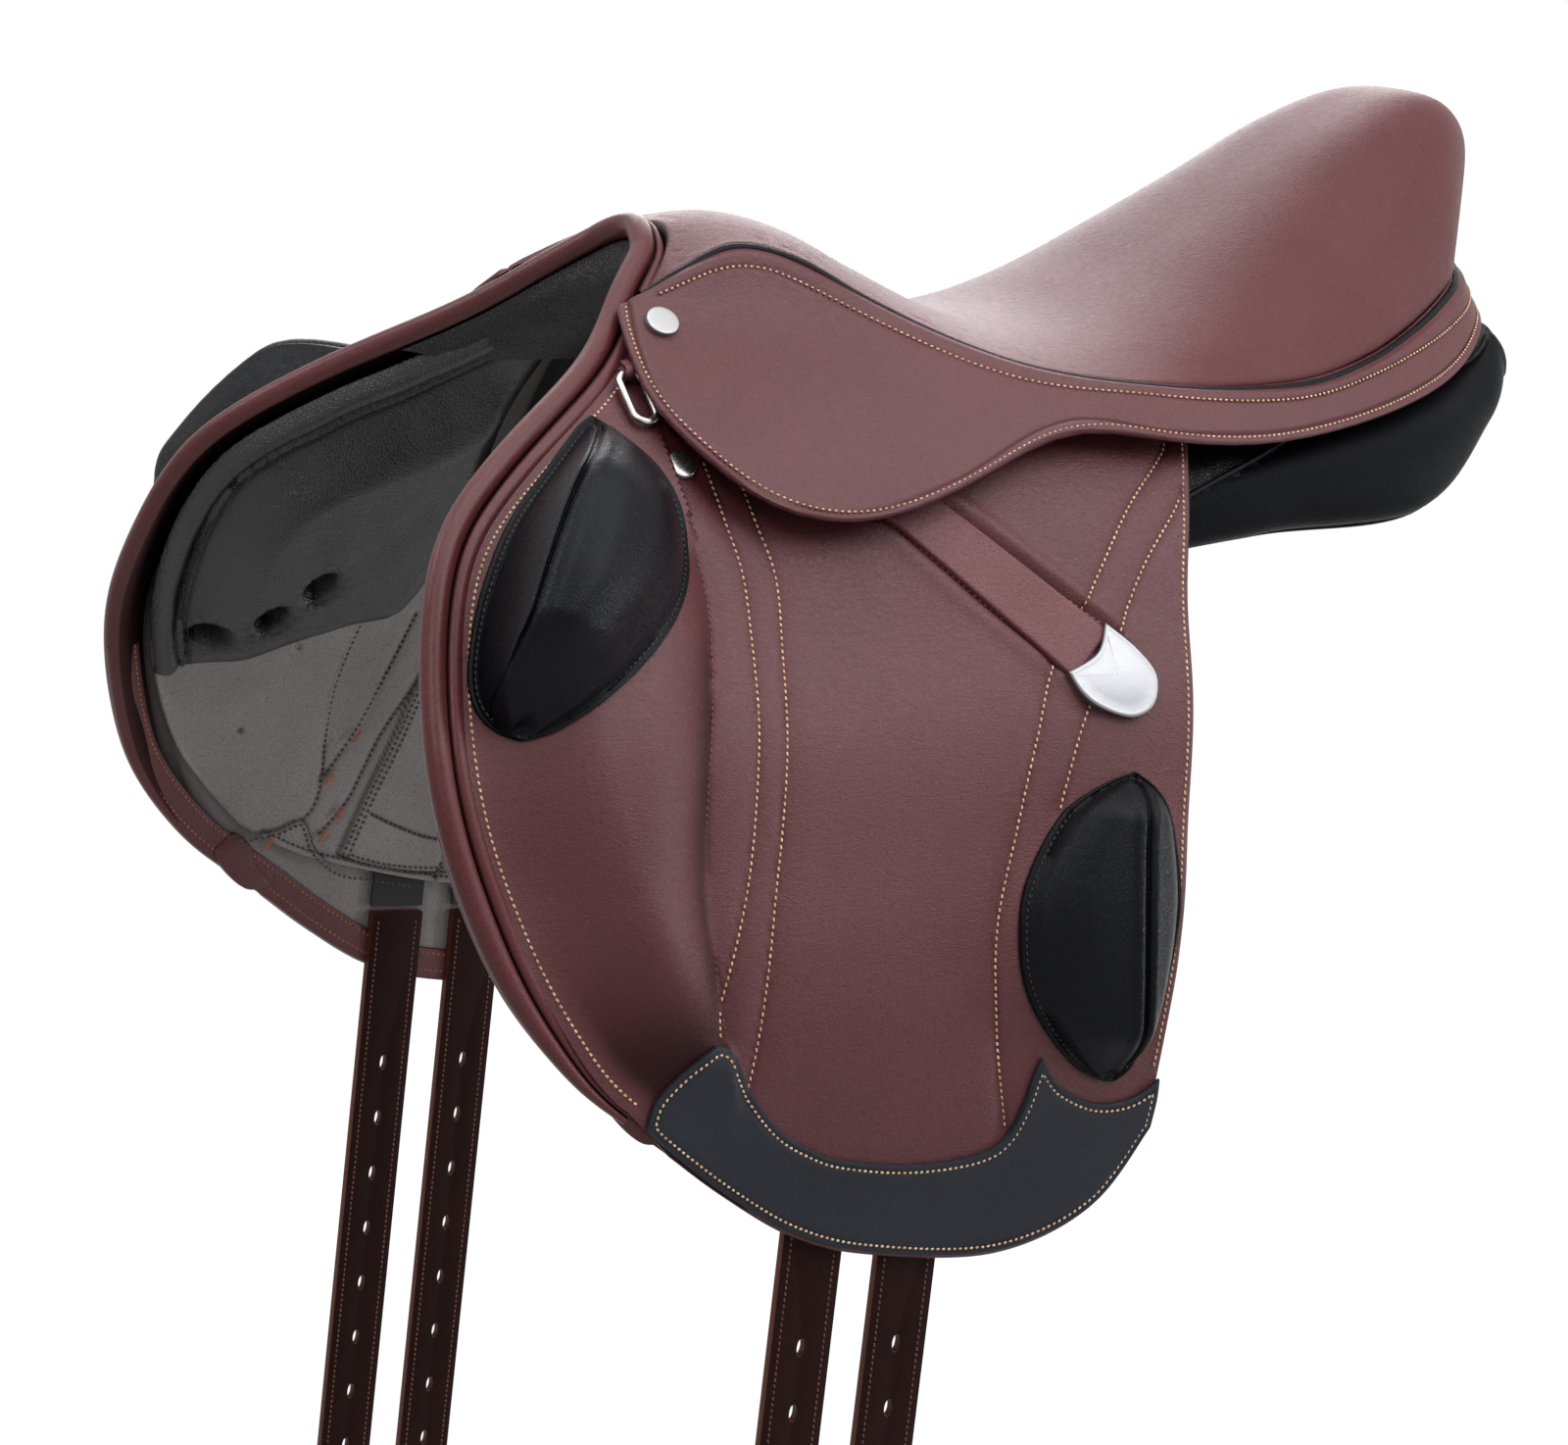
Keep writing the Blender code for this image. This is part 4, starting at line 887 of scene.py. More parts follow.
@dataclass
class Stitching:
    """Rows of stitches that make one piece: each stitch is a small grain, half sunk."""

    name: str
    finish: Finish
    side: Side | None
    pitch: float = 3.0 * MM
    length: float = 2.0 * MM
    radius: float = 0.52 * MM
    slant: float = 0.20
    points: list = field(default_factory=list)
    faces: list = field(default_factory=list)

    def template(self) -> Skin:
        """One stitch along X, with Z up.

        Returns:
            Its points, and its faces.
        """
        turn = np.arange(6) * math.pi / 3
        ring = np.stack([np.cos(turn), np.sin(turn)], -1) * self.radius
        half = self.length / 2
        rings = [np.column_stack([np.full(6, x), ring]) for x in (-half * 0.6, half * 0.6)]
        points = np.concatenate([[(-half, 0, 0)], *rings, [(half, 0, 0)]])
        faces = [(0, 1 + (k + 1) % 6, 1 + k) for k in range(6)]
        faces += [(1 + k, 1 + (k + 1) % 6, 7 + (k + 1) % 6, 7 + k) for k in range(6)]
        faces += [(7 + k, 7 + (k + 1) % 6, 13) for k in range(6)]
        return points, faces

    def row(self, path: Array, ups: Array) -> None:
        """Sews one row.

        Args:
            path: points on the surface.
            ups: the way out of the surface at each.
        """
        count = max(int(lengths(path)[-1] / self.pitch), 1)
        shares = (np.arange(count) + 0.5) / count
        centres = along(path, shares)
        reach = lengths(path) / lengths(path)[-1]
        up = unit(np.stack([np.interp(shares, reach, c) for c in ups.T], -1))
        ahead, behind = along(path, np.minimum(shares + 1e-3, 1)), along(path, shares - 1e-3)
        way = unit(ahead - behind)
        across = unit(np.cross(up, way))
        way = unit(way * math.cos(self.slant) + across * math.sin(self.slant))
        across = np.cross(up, way)
        shape, faces = self.template()
        made = (centres[:, None] + shape[None, :, 0, None] * way[:, None]
                + shape[None, :, 1, None] * across[:, None] + shape[None, :, 2, None] * up[:, None])
        start = sum(len(p) for p in self.points)
        self.points.append(made.reshape(-1, 3))
        for k in range(count):
            first = start + k * len(shape)
            self.faces += [[first + i for i in face] for face in faces]

    def make(self, slot: str, body: str | None = SADDLE) -> Piece:
        """The rows as one piece on a body."""
        skin = np.concatenate(self.points), self.faces
        return lay(self.name, skin, self.finish, side=self.side, body=body)


def lay_row(stitching: Stitching, line: Array, distance: Array | float, inward: bool = False) -> None:
    """Sews a row along a line in side view.

    Args:
        stitching: the piece that the row belongs to.
        line: its points (x, z).
        distance: how far out from the flank the row lies.
        inward: whether it shows on the inside.
    """
    x, z = line[:, 0], line[:, 1]
    out = FLANK.out(x, z)
    stitching.row(FLANK.place(x, z, distance), -out if inward else out)


def inset(line: Array, distance: float) -> Array:
    """A line in side view moved to the left of its own way."""
    way = ways(line)
    return line + np.stack([-way[:, 1], way[:, 0]], -1) * distance


def inset_loop(outline: Array, distance: float) -> Array:
    """A closed line in side view moved inwards, without the loops that sharp corners leave.

    Args:
        outline: the line, whose end joins its start.
        distance: how far to move it.

    Returns:
        The inner line, which ends where it starts.
    """
    whole = np.concatenate([outline, outline[:1]])
    whole = along(whole, np.linspace(0, 1, int(lengths(whole)[-1] / (0.5 * MM))))[:-1]
    after = np.roll(whole, -1, axis=0)
    way = unit(after - np.roll(whole, 1, axis=0))
    turn = np.sign(np.sum(whole[:, 0] * after[:, 1] - whole[:, 1] * after[:, 0]))
    moved = whole + turn * distance * np.stack([-way[:, 1], way[:, 0]], -1)
    away = np.linalg.norm(moved[:, None] - whole[None], axis=-1).min(axis=1)
    inner = moved[away > 0.96 * distance]
    return np.concatenate([inner, inner[:1]])


# The layers of a flap


@dataclass(frozen=True)
class Layers:
    """Where each layer of a flap lies, as distances out from the flank."""

    flap: float = 4.0 * MM
    gap: float = 0.3 * MM
    strap: float = 4.5 * MM
    lining: float = 2.5 * MM
    guard: float = 2.0 * MM

    @property
    def lining_outer(self) -> float:
        """The lining's hidden face."""
        return -self.strap - 2 * self.gap

    @property
    def lining_inner(self) -> float:
        """The lining's face on the horse's side."""
        return self.lining_outer - self.lining


LAYERS = Layers()


@dataclass
class Roll:
    """The double bead round the front of both flaps and over the pommel."""

    crest: Array = table(167, 0, 131)
    front: Array = table(
        (174, 125), (191, 112), (222, 86), (277, 57), (320, 24), (339, -25), (343, -75), (327, -137),
        (297, -181), (272, -203))
    outer: float = 11 * MM
    inner: float = 7 * MM
    rise: float = 8 * MM
    fall: float = 3 * MM
    end_share: float = 0.3
    lap: float = 0.85
    steps: int = 24
    groove: tuple = (19, 20, 21, 22, 23, 24, 31, 32, 33, 34, 35, 0)
    groove_marks: tuple = (0.25, 0.6, 0.95, 1.0, 0.7, 0.3, 0.4, 0.8, 1.0, 1.0, 1.0, 0.8)

    def __post_init__(self) -> None:
        """Works out the path with its ways in and out, from the crest to where it dies out."""
        edge = smooth(self.front, self.steps)
        count = self.steps
        near = FLANK.place(edge[:, 0], edge[:, 1])
        share = np.linspace(0, 1, count, endpoint=False)[:, None]
        start = self.crest + (near[0] - self.crest) * share
        drop = 1 - np.cos(share[:, 0] * math.pi / 2)
        start[:, 2] = self.crest[2] + (near[0, 2] - self.crest[2]) * drop
        path = np.concatenate([start, near])
        self.path = calm(mirrored(path), 60)[len(path) - 1:]
        first = unit((1 - share) * np.array((0.0, 0.0, 1.0)) + share * FLANK.out(*edge[0]))
        self.outs = np.concatenate([first, FLANK.out(edge[:, 0], edge[:, 1])])
        way = ways(self.path)
        way[0] = (0, 1, 0)
        self.ins = unit(np.cross(self.outs, way))
        self.shares = np.linspace(0, 1, len(self.path))
        self.taper = 1 - (1 - self.end_share) * ease(0.75, 1.0, self.shares)

    def section(self, share: float, width: float) -> Array:
        """The beads across the path.

        Args:
            share: how far along the path it is.
            width: the beads' width there, as a share of their full width.

        Returns:
            Pairs of distances in and out.
        """
        low = 1 - 0.6 * ease(0.72, 1.0, np.array(share))
        crest = 0.35 + 0.65 * ease(0.0, 0.2, np.array(share))
        outer, inner = self.outer * width / 2, self.inner * width * crest / 2
        high, under = self.rise * low, self.fall * low
        middle, half = (high - under) / 2, (high + under) / 2
        small = half * (0.35 + 0.3 * crest)
        turn = np.radians(np.linspace(270, 12, 22))
        big = np.stack([outer + outer * np.cos(turn), middle + half * np.sin(turn)], -1)
        turn = np.radians(np.linspace(150, -25, 12))
        little = np.stack([2 * outer + inner + 1.12 * inner * np.cos(turn),
                           0.25 * high + small * np.sin(turn)], -1)
        foot = np.array([(2 * outer + 2 * inner, -0.3 * under), (2 * outer, -0.7 * under)])
        return np.concatenate([big, little, foot])

    def flap_front(self, highest: float = 96 * MM) -> Array:
        """The flap's edge just inside the beads, in side view.

        Args:
            highest: where it starts.

        Returns:
            Its points, from the top down.
        """
        across = (self.outer + self.inner) * self.taper * self.lap
        edge = self.path + self.ins * across[:, None]
        keep_rows = (edge[:, 2] < highest) & (self.shares > 0.1)
        return edge[keep_rows][:, [0, 2]]

    def make(self) -> None:
        """Builds the beads from the off side over the pommel to the near side."""
        near = []
        for p, d, n, s, w in zip(self.path, self.ins, self.outs, self.shares, self.taper):
            pair = self.section(float(s), float(w))
            near.append(p + pair[:, :1] * d + pair[:, 1:] * n)
        rings = mirrored(np.array(near))
        # Painted shade in the grooves between and beside the beads
        ring_shade = np.zeros(rings.shape[1])
        ring_shade[list(self.groove)] = self.groove_marks
        lay("front_roll_leather", closed_tube(rings), EDGE_BROWN, ("front_roll",),
            marks=np.tile(ring_shade, len(rings)), smooth_angle=70)


ROLL = Roll()


# The flap and what lies on it


@dataclass
class FlapShape:
    """The flap's outline, and how its surface swells between its seams."""

    rest: Array = table(
        (252, -219), (228, -239), (196, -261), (160, -274), (100, -282), (54, -268), (27, -236))
    rear: Array = table((-47, 50), (-21, -12), (-3, -90), (14, -171), (27, -236))
    seam_a: Array = table(
        (187, 46), (186, 22), (185, 0), (191, -36), (200, -73), (210, -111), (227, -156), (229, -172))
    seam_b: Array = table(
        (173, 36), (172, 22), (170, -1), (178, -37), (192, -93), (202, -130), (215, -188), (219, -200))
    seam_c: Array = table((204, 12), (206, -17), (222, -71), (229, -109), (229, -147), (226, -172))
    seam_d: Array = table(
        (-34, 50), (-29, 40), (2, 17), (32, -16), (54, -39), (69, -68), (84, -103), (99, -141),
        (101, -182), (96, -226))
    seam_e: Array = table((-31, 26), (-26, 19), (-1, -3), (22, -32), (44, -60), (57, -85), (62, -96))
    band_top: Array = table((118, 46), (81, 21), (50, -5), (22, -28))
    band_low: Array = table((132, 34), (109, 17), (76, -16), (46, -42))
    swell: float = 16.0 * MM
    swell_reach: float = 34 * MM
    groove: float = 0.9 * MM
    groove_width: float = 6 * MM
    stitch_dip: float = 0.5 * MM
    dip_width: float = 1.5 * MM
    shade: float = 11 * MM
    band_lifts: tuple = (2.0 * MM, 0.8 * MM)
    band_shoulder: float = 5 * MM
    band_dip: float = 1.0 * MM

    def __post_init__(self) -> None:
        """Files the seams, and the front edge, for measuring."""
        self.front = ROLL.flap_front()
        self.front_line = Line(self.front[::6])
        self.lines = {k: Line(getattr(self, "seam_" + k)) for k in "abcde"}
        self.band = [Line(self.band_top), Line(self.band_low)]

    def patch(self) -> Patch:
        """The flap between its four edges.

        Returns:
            The patch, from the front edge back.
        """
        front = np.concatenate([self.front[::6], self.rest[:1]])
        top = np.concatenate([front[:1], mm((150, 50), (80, 56), (0, 56)), self.rear[:1]])
        return Patch(front, self.rear, top, self.rest, 2.1 * MM)

    def rise(self, x: Array, z: Array) -> Pair:
        """How far the leather stands above its plain thickness.

        Args:
            x: places along the saddle.
            z: their heights.

        Returns:
            The rise at each place, and the painted shade there, from 0 to 1.
        """
        rise, crease = np.zeros_like(x), np.zeros_like(x)
        found = {name: line.measure(x, z) for name, line in self.lines.items()}
        # Each seam sinks in a groove, with painted shade along its stitches
        for name, (distance, _sign) in found.items():
            wide = hump(distance, self.groove_width)
            thin = hump(distance, self.dip_width)
            rise -= self.groove * wide + self.stitch_dip * thin
            crease = np.maximum(crease, 0.7 * thin)
        # The padding in front of the dark seam
        distance, sign = found["c"]
        ahead = np.where(sign > 0, distance, 0)
        from_edge, _sign = self.front_line.measure(x, z)
        swell = (np.sin(0.5 * math.pi * np.clip(ahead / self.swell_reach, 0, 1))
                 * ease(2 * MM, 58 * MM, from_edge) * ease(-208 * MM, -120 * MM, z)
                 * (1 - ease(-20 * MM, 40 * MM, z) * 0.6))
        rise += self.swell * swell
        # Painted shade beside the seam, and over the lower part of the padding in front of it
        near = hump(distance, self.shade) * ease(20 * MM, -40 * MM, z)
        low = ease(-120 * MM, -182 * MM, z) * ease(3 * MM, 16 * MM, from_edge)
        before = ease(-1.5 * MM, 2.5 * MM, distance * sign)
        crease = np.maximum(crease, np.maximum(0.75 * near, 0.88 * low) * before)
        # The channel for the band that keeps the stirrup leather's end
        for line, lift in zip(self.band, self.band_lifts):
            distance, sign = line.measure(x, z)
            outside = sign > 0 if line is self.band[1] else sign < 0
            rise += lift * hump(distance - self.band_shoulder, 4 * MM) * outside
            rise -= self.band_dip * hump(distance, 1.8 * MM)
            # Painted shade along the band's edges
            crease = np.maximum(crease, 0.7 * hump(distance, 1.3 * MM))
        return rise, crease


FLAP = FlapShape()


def flap_level(x: Array, z: Array) -> Array:
    """How far out from the flank the flap's surface lies."""
    return LAYERS.flap + FLAP.rise(x, z)[0]


@dataclass
class Flap:
    """One side's flap with its stitching and its guard."""

    side: Side
    roundness: float = 0.42
    edge_row: float = 3.2 * MM
    front_row: float = 5.0 * MM
    row_rise: float = 0.1 * MM
    guard_row: float = 3.2 * MM
    guard_top: Array = table(
        (232, -174), (224, -178), (215, -197), (203, -213), (189, -223), (173, -230), (142, -236),
        (112, -236), (97, -230), (89, -217), (84, -204), (80, -196))
    guard_rear: Array = table((80, -196), (76, -204), (69, -212), (53, -220), (36, -220), (22, -213))
    guard_left: Array = table((232, -174), (246, -182), (259, -194), (263, -205))
    guard_right: Array = table((22, -213), (23, -222), (26, -234))
    guard_edge: Array = table(
        (263, -205), (256, -213), (228, -237), (196, -259), (160, -272), (100, -280), (54, -266),
        (26, -234))

    def make(self) -> None:
        """Builds the flap with its stitching and the guard on its lower edge."""
        x, z = FLAP.patch().grid()
        e = border(x, z)
        rise, crease = FLAP.rise(x, z)
        rise = rise * ease(0, 8 * MM, e)
        radius = self.roundness * LAYERS.flap
        skin = flank_sheet(x, z, LAYERS.flap - lip(e, radius) + rise, lip(e, radius))
        # Painted shade along the seams and the band, and darker on the rounded border
        front_marks = np.maximum(crease, 0.5 * (1 - ease(0, 1.5 * MM, e)))
        # Painted shade on the hidden face near the front edge, under the roll
        from_front = FLAP.front_line.reach(side_view(x, z))[::BACK_STEP, ::BACK_STEP]
        back_shade = 1 - ease(6 * MM, 16 * MM, from_front)
        obj = lay("flap_leather", skin, BROWN, ("flap",), self.side,
                  np.concatenate([front_marks.ravel(), back_shade.ravel()]))
        # Its hidden face is the lining's leather
        obj.data.materials.append(LINING.material())
        first = (x.shape[0] - 1) * (x.shape[1] - 1)
        count = (x.shape[0] // BACK_STEP) * (x.shape[1] // BACK_STEP)
        for face in obj.data.polygons[first:first + count]:
            face.material_index = 1
        self.sew()
        self.make_guard()

    def sew(self) -> None:
        """Sews the seams and the edge rows."""
        gold = Stitching("flap_stitching", GOLD, self.side)
        rows = [FLAP.lines[k].path for k in "abde"]
        front = inset(smooth(FLAP.front[::6], 6), -self.front_row)
        rear = inset(smooth(FLAP.rear, 12)[:-6], self.edge_row)
        for line in rows + [front, rear]:
            lay_row(gold, line, flap_level(*line.T) + self.row_rise)
        gold.make("brown_leather")
        rust = Stitching("flap_rust_stitching", RUST, self.side, radius=0.5 * MM)
        seam = FLAP.lines["c"].path
        lay_row(rust, seam, flap_level(*seam.T) + 0.25 * MM)
        rust.make("brown_leather")
        orange = Stitching("band_stitching", ORANGE, self.side, radius=0.42 * MM)
        for line in FLAP.band:
            lay_row(orange, line.path, flap_level(*line.path.T) + self.row_rise)
        orange.make("brown_leather")

    def make_guard(self) -> None:
        """Builds the black guard and its stitching."""
        top = np.concatenate([smooth(self.guard_top, 8), smooth(self.guard_rear, 8)[1:]])
        patch = Patch(self.guard_left, self.guard_right, top, self.guard_edge, 1.8 * MM)
        x, z = patch.grid()
        e = border(x, z)
        low = flap_level(x, z)
        face = low + LAYERS.guard - lip(e, 0.9 * MM) + 0.5 * MM * ease(0, 6 * MM, e)
        face -= 0.45 * MM * hump(e - self.guard_row, 0.9 * MM)
        skin = flank_sheet(x, z, face, low - 0.4 * MM)
        # Painted shade along the stitch row's groove
        lay("guard_leather", skin, SLATE, ("flap_guard",), self.side,
            0.6 * hump(e - self.guard_row, 0.8 * MM))
        gold = Stitching("guard_stitching", GOLD, self.side, 2.7 * MM, 1.7 * MM, 0.5 * MM)
        chains = (top, smooth(self.guard_right, 8), smooth(self.guard_edge, 8)[::-1],
                  smooth(self.guard_left, 8)[::-1])
        row = inset_loop(np.concatenate(chains), self.guard_row)
        lay_row(gold, row, flap_level(*row.T) + LAYERS.guard + 0.15 * MM)
        gold.make("black_leather")


@dataclass
class Block:
    """A padded block between two chains of points, each from top to bottom.

    The ridge says where the seam runs from top to bottom, as a share of the width; the rises say how
    high the block stands before and behind it, as shares of its height.
    """

    side: Side
    name: str
    front: Array
    rear: Array
    height: float
    ridge: tuple
    front_rises: tuple
    rear_rises: tuple
    front_columns: float = 0.3
    top_end: float = 0.25
    low_end: float = 0.25
    welt: float = 4.5 * MM
    welt_height: float = 2.2 * MM
    row_share: float = 0.62
    seam_depth: float = 2.6 * MM
    shoulder: float = 4.5 * MM
    shoulder_rise: float = 0.9 * MM
    round_end: float = 8 * MM

    def make(self) -> None:
        """Builds the block, the seam on its ridge and the stitching round it."""
        front, rear = smooth(self.front, 12), smooth(self.rear, 12)
        t = spaced(lengths(rear)[-1], 1.6 * MM)
        front, rear = along(front, t), along(rear, t)
        close = np.clip(1 - np.minimum(t, 1 - t) * lengths(rear)[-1] / self.round_end, 0, 0.995)
        middle = (front + rear) / 2
        narrow = np.sqrt(1 - close ** 2)[:, None]
        front, rear = middle + (front - middle) * narrow, middle + (rear - middle) * narrow
        u = spaced(float(np.linalg.norm(front - rear, axis=1).max()), 1.3 * MM)
        ridge = np.interp(t, *smooth(self.ridge, 8).T)[:, None]
        ahead, first = u < self.front_columns, int(np.argmax(u >= self.front_columns))
        part = np.where(ahead, 1 - (1 - np.minimum(u / self.front_columns, 1)) ** 1.7,
                        np.maximum((u - self.front_columns) / (1 - self.front_columns), 0) ** 1.4)
        share = np.where(ahead, ridge * part, ridge + (1 - ridge) * part)
        flat = front[:, None] + (rear - front)[:, None] * share[..., None]
        x, z = flat[..., 0], flat[..., 1]
        e = border(x, z)
        shape = np.where(ahead, np.interp(part, *smooth(self.front_rises, 10).T),
                         np.interp(part, *smooth(self.rear_rises, 10).T))
        ends = (ease(0, self.top_end, t + 0.02) * ease(0, self.low_end, 1 - t + 0.02))[:, None]
        inside = ease(self.welt * 0.8, self.welt * 1.45, e)
        wide = np.linalg.norm(rear - front, axis=1)[:, None]
        rise = self.height * np.maximum(shape, 0) * ends * inside
        step = np.hypot(np.diff(share * wide, axis=1), np.diff(rise, axis=1))
        reach = np.pad(np.cumsum(step, axis=1), ((0, 0), (1, 0)))
        from_ridge = np.abs(reach - reach[:, first:first + 1])
        seam = hump(from_ridge, 1.4 * MM)
        raised = ease(0.02, 0.12, rise / self.height)
        level = flap_level(x, z)
        face = level + self.welt_height + rise - lip(e, 1.0 * MM)
        shoulder = self.shoulder_rise * hump(from_ridge - self.shoulder, 2.2 * MM)
        face += (shoulder - self.seam_depth * seam) * raised
        face -= 0.5 * MM * seam * (1 - raised) * ease(0, 2 * MM, e)
        face -= 0.5 * MM * hump(e - self.welt * self.row_share, 0.7 * MM)
        # Painted shade in the seam's groove and along the stitch row
        marks = np.maximum(0.9 * seam, 0.7 * hump(e - self.welt * self.row_share, 0.8 * MM))
        skin = flank_sheet(x, z, face, level - 0.5 * MM)
        obj = lay(self.name + "_leather", skin, BLACK, (self.name,), self.side, marks,
                  60)
        thread = Stitching(self.name + "_stitching", DARK, self.side, radius=0.4 * MM)
        for line, way in ((smooth(self.front, 12), -1), (smooth(self.rear, 12), 1)):
            row_line = inset(line, way * self.welt * self.row_share)[4:-4]
            lay_row(thread, row_line, flap_level(*row_line.T) + self.welt_height - 0.2 * MM)
        thread.make("black_leather")


def make_blocks(side: Side) -> None:
    """Builds one side's knee block and thigh block.

    Args:
        side: the saddle's side.
    """
    Block(
        side, "knee_block", height=48 * MM, top_end=0.42, low_end=0.3,
        front=mm((234, 64), (257, 49), (286, 28), (306, 4), (318, -22), (319, -38), (310, -50)),
        rear=mm((229, 63), (213, 45), (208, 24), (214, 2), (238, -24), (268, -42), (298, -52)),
        ridge=((0, 0.7), (0.08, 0.44), (0.2, 0.25), (0.5, 0.155), (0.8, 0.13), (1, 0.10)),
        front_rises=((0, 0), (0.35, 0.14), (0.6, 0.6), (0.85, 0.9), (1, 0.96)),
        rear_rises=((0, 0.96), (0.1, 1.0), (0.3, 0.93), (0.55, 0.66), (0.78, 0.30), (0.92, 0.08),
                    (1, 0))).make()
    Block(
        side, "thigh_block", height=17 * MM, front_columns=0.55,
        front=mm((28, -83), (60, -96), (84, -124), (90, -150), (86, -172), (72, -194), (56, -210)),
        rear=mm((22, -84), (11, -98), (9, -120), (11, -142), (19, -170), (30, -195), (40, -212)),
        ridge=((0, 0.55), (1, 0.80)), front_rises=((0, 0), (0.13, 0.3), (0.5, 0.8), (1, 1.0)),
        rear_rises=((0, 1.0), (0.5, 0.75), (0.85, 0.25), (1, 0))).make()


def put(obj: Piece, name: str, matrix: Matrix, finish: Finish, side: Side,
        smooth_angle: float = 40) -> Piece:
    """Moves a piece built at the origin to its place, and finishes it.

    Args:
        obj: the piece.
        name: its new name.
        matrix: where it goes on the near side.
        finish: what it is finished with.
        side: the side that it belongs to.
        smooth_angle: faces that meet at less than this, in degrees, are shaded as one.

    Returns:
        The piece.
    """
    obj.name = obj.data.name = name
    obj.data.transform(matrix)
    if side is Side.OFF:
        obj.data.transform(Matrix.Diagonal((1, -1, 1, 1)))
        obj.data.flip_normals()
    obj.data.shade_smooth()
    obj.data.set_sharp_from_angle(angle=math.radians(smooth_angle))
    if not obj.data.materials:
        obj.data.materials.append(finish.material())
    return obj


def flank_frame(x: float, z: float, distance: float) -> Matrix:
    """A place on the flank, with X backward, Y up the flank and Z out from it.

    Args:
        x: where it is along the saddle.
        z: its height.
        distance: how far out from the flank it lies.

    Returns:
        Its matrix.
    """
    out = Vector(FLANK.out(np.array(x), np.array(z)))
    up = Vector((1, 0, 0)).cross(out).normalized()
    matrix = Matrix((up.cross(out).normalized(), up, out)).transposed().to_4x4()
    matrix.translation = Vector(FLANK.place(x, z, distance))
    return matrix


def deselect() -> None:
    """Leaves nothing selected."""
    for obj in bpy.context.selected_objects:
        obj.select_set(False)


def apply_all(obj: Piece) -> None:
    """Applies a piece's modifiers.

    Args:
        obj: the piece.
    """
    deselect()
    bpy.context.view_layer.objects.active = obj
    obj.select_set(True)
    for modifier in list(obj.modifiers):
        bpy.ops.object.modifier_apply(modifier=modifier.name)


# The seat


@dataclass
class Seat:
    """The seat's leather with the padding under it, rib by rib from the pommel to the cantle."""

    ribs: Array = field(default_factory=lambda: np.array([
        (152, 134, 186, 53, 109, 2.0), (138, 137, 165, 52, 121, 2.0),
        (118, 137, 140, 51, 130, 2.0), (92, 129, 112, 57, 124, 1.9),
        (62, 113, 80, 70, 105, 1.9), (32, 97.5, 50, 92, 89, 2.0),
        (-2, 87, 20, 111, 78, 2.2), (-40, 87, -20, 124, 71, 2.4),
        (-80, 101.5, -65, 130, 67, 2.8), (-120, 124, -115, 127, 67, 3.2),
        (-160, 148.5, -160, 111, 73, 3.4), (-200, 171, -195, 94, 82, 3.6),
        (-234, 183, -220, 80, 91, 3.6), (-262, 180, -237, 68, 98, 3.6),
        (-280, 165, -248, 54, 103, 3.3), (-282, 144, -256, 38, 106, 2.6),
        (-277, 116, -265, 18, 106, 2.0)]) * ([MM] * 5 + [1]))
    thickness: float = 10.8 * MM
    steps: int = 14
    half_columns: int = 72
    tuck: float = 3.2 * MM
    waver: float = 0.5 * MM
    waver_length: float = 55 * MM
    wrinkle: float = 0.25 * MM

    @property
    def seam(self) -> Array:
        """The seam between the seat and a skirt, from front to rear."""
        return smooth(self.ribs[:, 2:5], self.steps)

    def grid(self) -> Pair:
        """The plain surface.

        Returns:
            Its points, rib by rib, and the ways out.
        """
        rows = smooth(self.ribs, self.steps)
        turn = np.linspace(-math.pi / 2, math.pi / 2, 2 * self.half_columns + 1)
        v = np.sin(turn)
        size = np.abs(v)[None, :]
        cx, cz, ex, ey, ez, full = (rows[:, k][:, None] for k in range(6))
        points = np.stack([cx + (ex - cx) * size ** 2, ey * v[None, :] + 0 * cx,
                           cz + (ez - cz) * size ** full], -1)
        outs = unit(np.cross(np.gradient(points, axis=1), np.gradient(points, axis=0)))
        return points, outs

    def make(self) -> None:
        """Builds the seat."""
        points, outs = self.grid()
        e = border(*np.moveaxis(points, -1, 0))
        rise = self.waver * wander(points, self.waver_length) * ease(0, 30 * MM, e) - lip(e, self.tuck)
        creases = ease(0.1, 0.6, wander(points * (1.0, 0.6, 0.35), 4.5 * MM, 7.0))
        low = ease(30 * MM, 8 * MM, e) * ease(3 * MM, 9 * MM, e)
        rise -= self.wrinkle * creases * low
        skin = closed_sheet(points + outs * rise[..., None], points - outs * self.thickness)
        # Painted shade along the border where the leather tucks under, and in the wrinkles
        obj = lay("seat_leather", skin, SEAT_BROWN, ("seat_cover", "seat_foam"),
                  marks=0.75 * (1 - ease(0, 6 * MM, e)) + 0.15 * creases * low)


SEAT = Seat()


